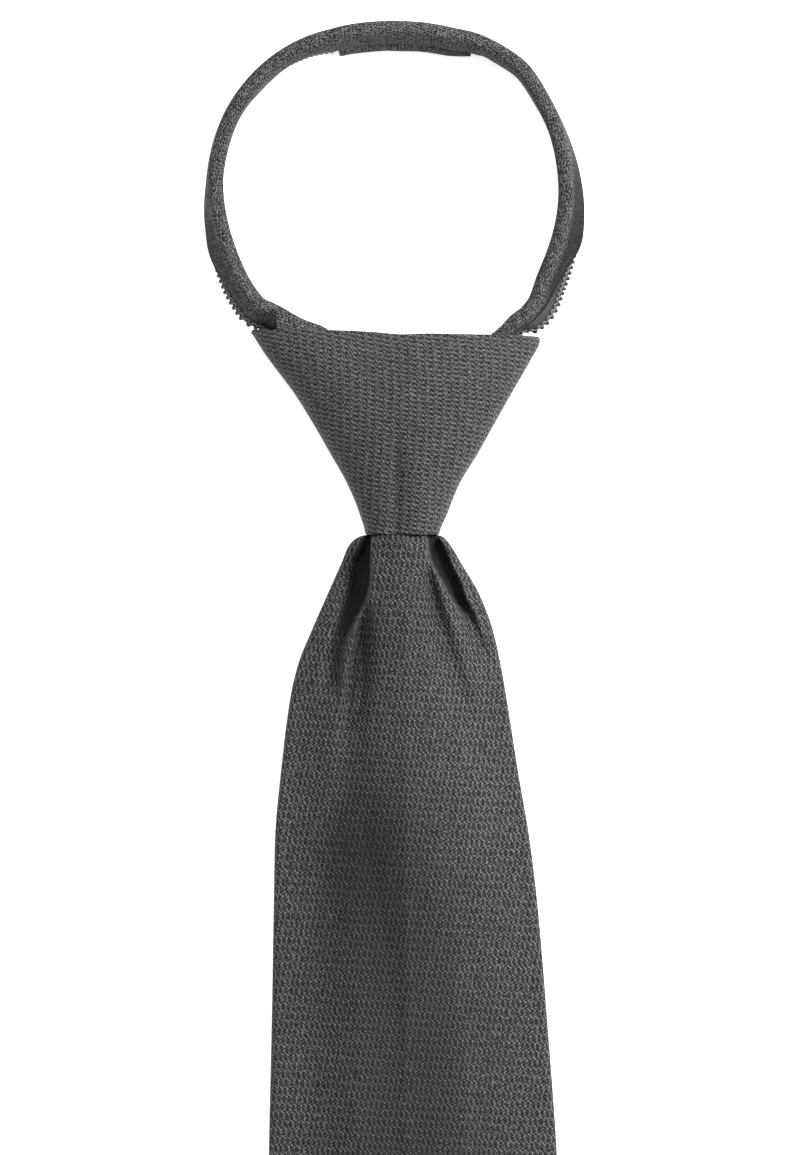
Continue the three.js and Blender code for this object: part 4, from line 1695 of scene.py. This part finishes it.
@dataclass
class Tuck:
    """A folded end of the band's cloth, lying on the band behind the knot's top edge."""

    node: str
    rows: Table
    material: Material
    thick: float = 1
    edge: float = 0.3  # how far its edges round past its rows
    puff: float = 0.25
    creases: float = 1.9  # radians for each millimetre across

    def ring(self, x: float) -> Array:
        """Gives the section at one place.

        Args:
            x: The place across the tie.

        Returns:
            Points by 3.
        """
        rear_y, rear_z, front_y, front_z = self.rows.read("rearY rearZ frontY frontZ", x)
        rear, front = np.array([rear_y, rear_z]), np.array([front_y, front_z])
        along = (front - rear) / np.linalg.norm(front - rear)
        across = np.array([along[1], -along[0]]) * self.thick
        share = np.linspace(0, 1, 16)
        face = rear + (front - rear) * share[:, None]
        bulge = self.puff * np.sin(math.pi * share) * (1 + np.sin(x * self.creases))
        face -= np.outer(bulge, across)
        back = rear + (front - rear) * share[::-1, None] + across
        turn = np.linspace(0, math.pi, 7)[1:-1, None]
        round_edge = along * self.edge * np.sin(turn)
        tip = front + across / 2 * (1 - np.cos(turn)) + round_edge
        foot = rear + across / 2 * (1 + np.cos(turn)) - round_edge
        flat = np.vstack([face, tip, back, foot])
        return np.column_stack([np.full(len(flat), x), flat])

    def build(self) -> None:
        """Builds the tuck."""
        x = np.linspace(self.rows.place[0], self.rows.place[-1], 40)
        points = np.array([self.ring(at) for at in x])
        cloth = Cloth().skin(points, laid_round(points, x))
        keep(cloth.make(f"{self.node}_cloth", self.material), Slot.BAND_CLOTH, self.node)


@dataclass(frozen=True)
class Lamp:
    """A square soft box."""

    name: str
    spot: tuple[float, float, float]  # in metres
    size: float  # the length of its side in metres
    power: float  # in watts


@dataclass
class Studio:
    """The floor, the soft lights and the camera straight above."""

    lens: float = 300
    sensor: float = 36
    floor_size: float = 6000
    floor_drop: float = 0.15
    ambient: float = 0.42
    aim: tuple[float, float, float] = (0, -0.03, 0)  # what the lamps face, in metres
    lamps: tuple[Lamp, ...] = (
        Lamp("key", (0.9, 0.38, 0.95), 0.6, 40),
        Lamp("top", (-0.1, 0.7, 1.3), 1.0, 11),
        Lamp("fill", (-0.9, -0.3, 0.8), 1.0, 3),
    )

    def floor(self) -> None:
        """Lays the white sheet under the tie."""
        half = self.floor_size / 2
        corners = np.array([[(-half, -half), (half, -half)], [(-half, half), (half, half)]])
        points = np.concatenate([corners, np.full((2, 2, 1), -self.floor_drop)], axis=2)
        sheet = Cloth()
        sheet.grid(points, corners)
        sheet.make("studio_floor", Sweep().material())

    def light(self, lamp: Lamp) -> None:
        """Hangs a lamp.

        Args:
            lamp: Which one.
        """
        data = bpy.data.lights.new(lamp.name, "AREA")
        data.shape, data.size, data.energy = "SQUARE", lamp.size, lamp.power
        hung = bpy.data.objects.new(lamp.name, data)
        hung.location = lamp.spot
        turned = (Vector(self.aim) - hung.location).to_track_quat("-Z", "Y")
        hung.rotation_euler = turned.to_euler()
        bpy.context.scene.collection.objects.link(hung)

    def camera(self) -> None:
        """Sets the camera above the middle of the photograph's frame."""
        tall = PHOTO_SIZE[1] * PIXEL
        x = (PHOTO_SIZE[0] / 2 - PHOTO_ORIGIN[0]) * PIXEL
        y = (PHOTO_ORIGIN[1] - PHOTO_SIZE[1] / 2) * PIXEL
        data = bpy.data.cameras.new("camera")
        data.lens, data.sensor_width = self.lens, self.sensor
        data.clip_end = 100
        lens = bpy.data.objects.new("camera", data)
        lens.location = (x * MM, y * MM, tall * self.lens / self.sensor * MM)
        bpy.context.scene.collection.objects.link(lens)
        bpy.context.scene.camera = lens

    def build(self) -> None:
        """Sets up the studio."""
        world = bpy.data.worlds.new("studio")
        world.use_nodes = True
        sky = world.node_tree.nodes["Background"]
        sky.inputs["Color"].default_value = (1, 1, 1, 1)
        sky.inputs["Strength"].default_value = self.ambient
        bpy.context.scene.world = world
        bpy.context.scene.view_settings.view_transform = "Standard"
        self.floor()
        for lamp in self.lamps:
            self.light(lamp)
        self.camera()


def main() -> None:
    """Builds the tie piece by piece."""
    logging.basicConfig(level=logging.INFO, format="%(message)s")
    Studio().build()
    cloth = Weave("tie weave", BLADE_NET).material()
    knot_cloth = Weave(
        "knot weave", KNOT_NET, contrast=0.15, grain=1.4, thread=(0.14, 0.141, 0.145)
    ).material()
    band_cloth = Weave(
        "band weave",
        BLADE_NET,
        column=0.7,
        row=0.85,
        contrast=0.1,
        grain=2,
        shine=0.03,
        thread=(0.168, 0.169, 0.174),
        relief=0.13,
        fuzz=0,
    ).material()
    nylon = Nylon().material()
    tail = Tail(band_cloth, nylon)
    Knot(knot_cloth).build()
    Blade(tail, cloth).build()
    NeckBand(Loop(), band_cloth, Tape().material(), nylon).build()
    Tuck("band_tuck_left", LEFT_TUCK, band_cloth).build()
    Tuck("band_tuck_right", RIGHT_TUCK, band_cloth).build()
    tail.build()
    paint = PaintedMetal().material()
    for slot in bpy.data.objects["zip_slider"].material_slots:
        slot.material = paint
    log.info("zip_slider: kept from the frame")


if __name__ == "__main__":
    main()
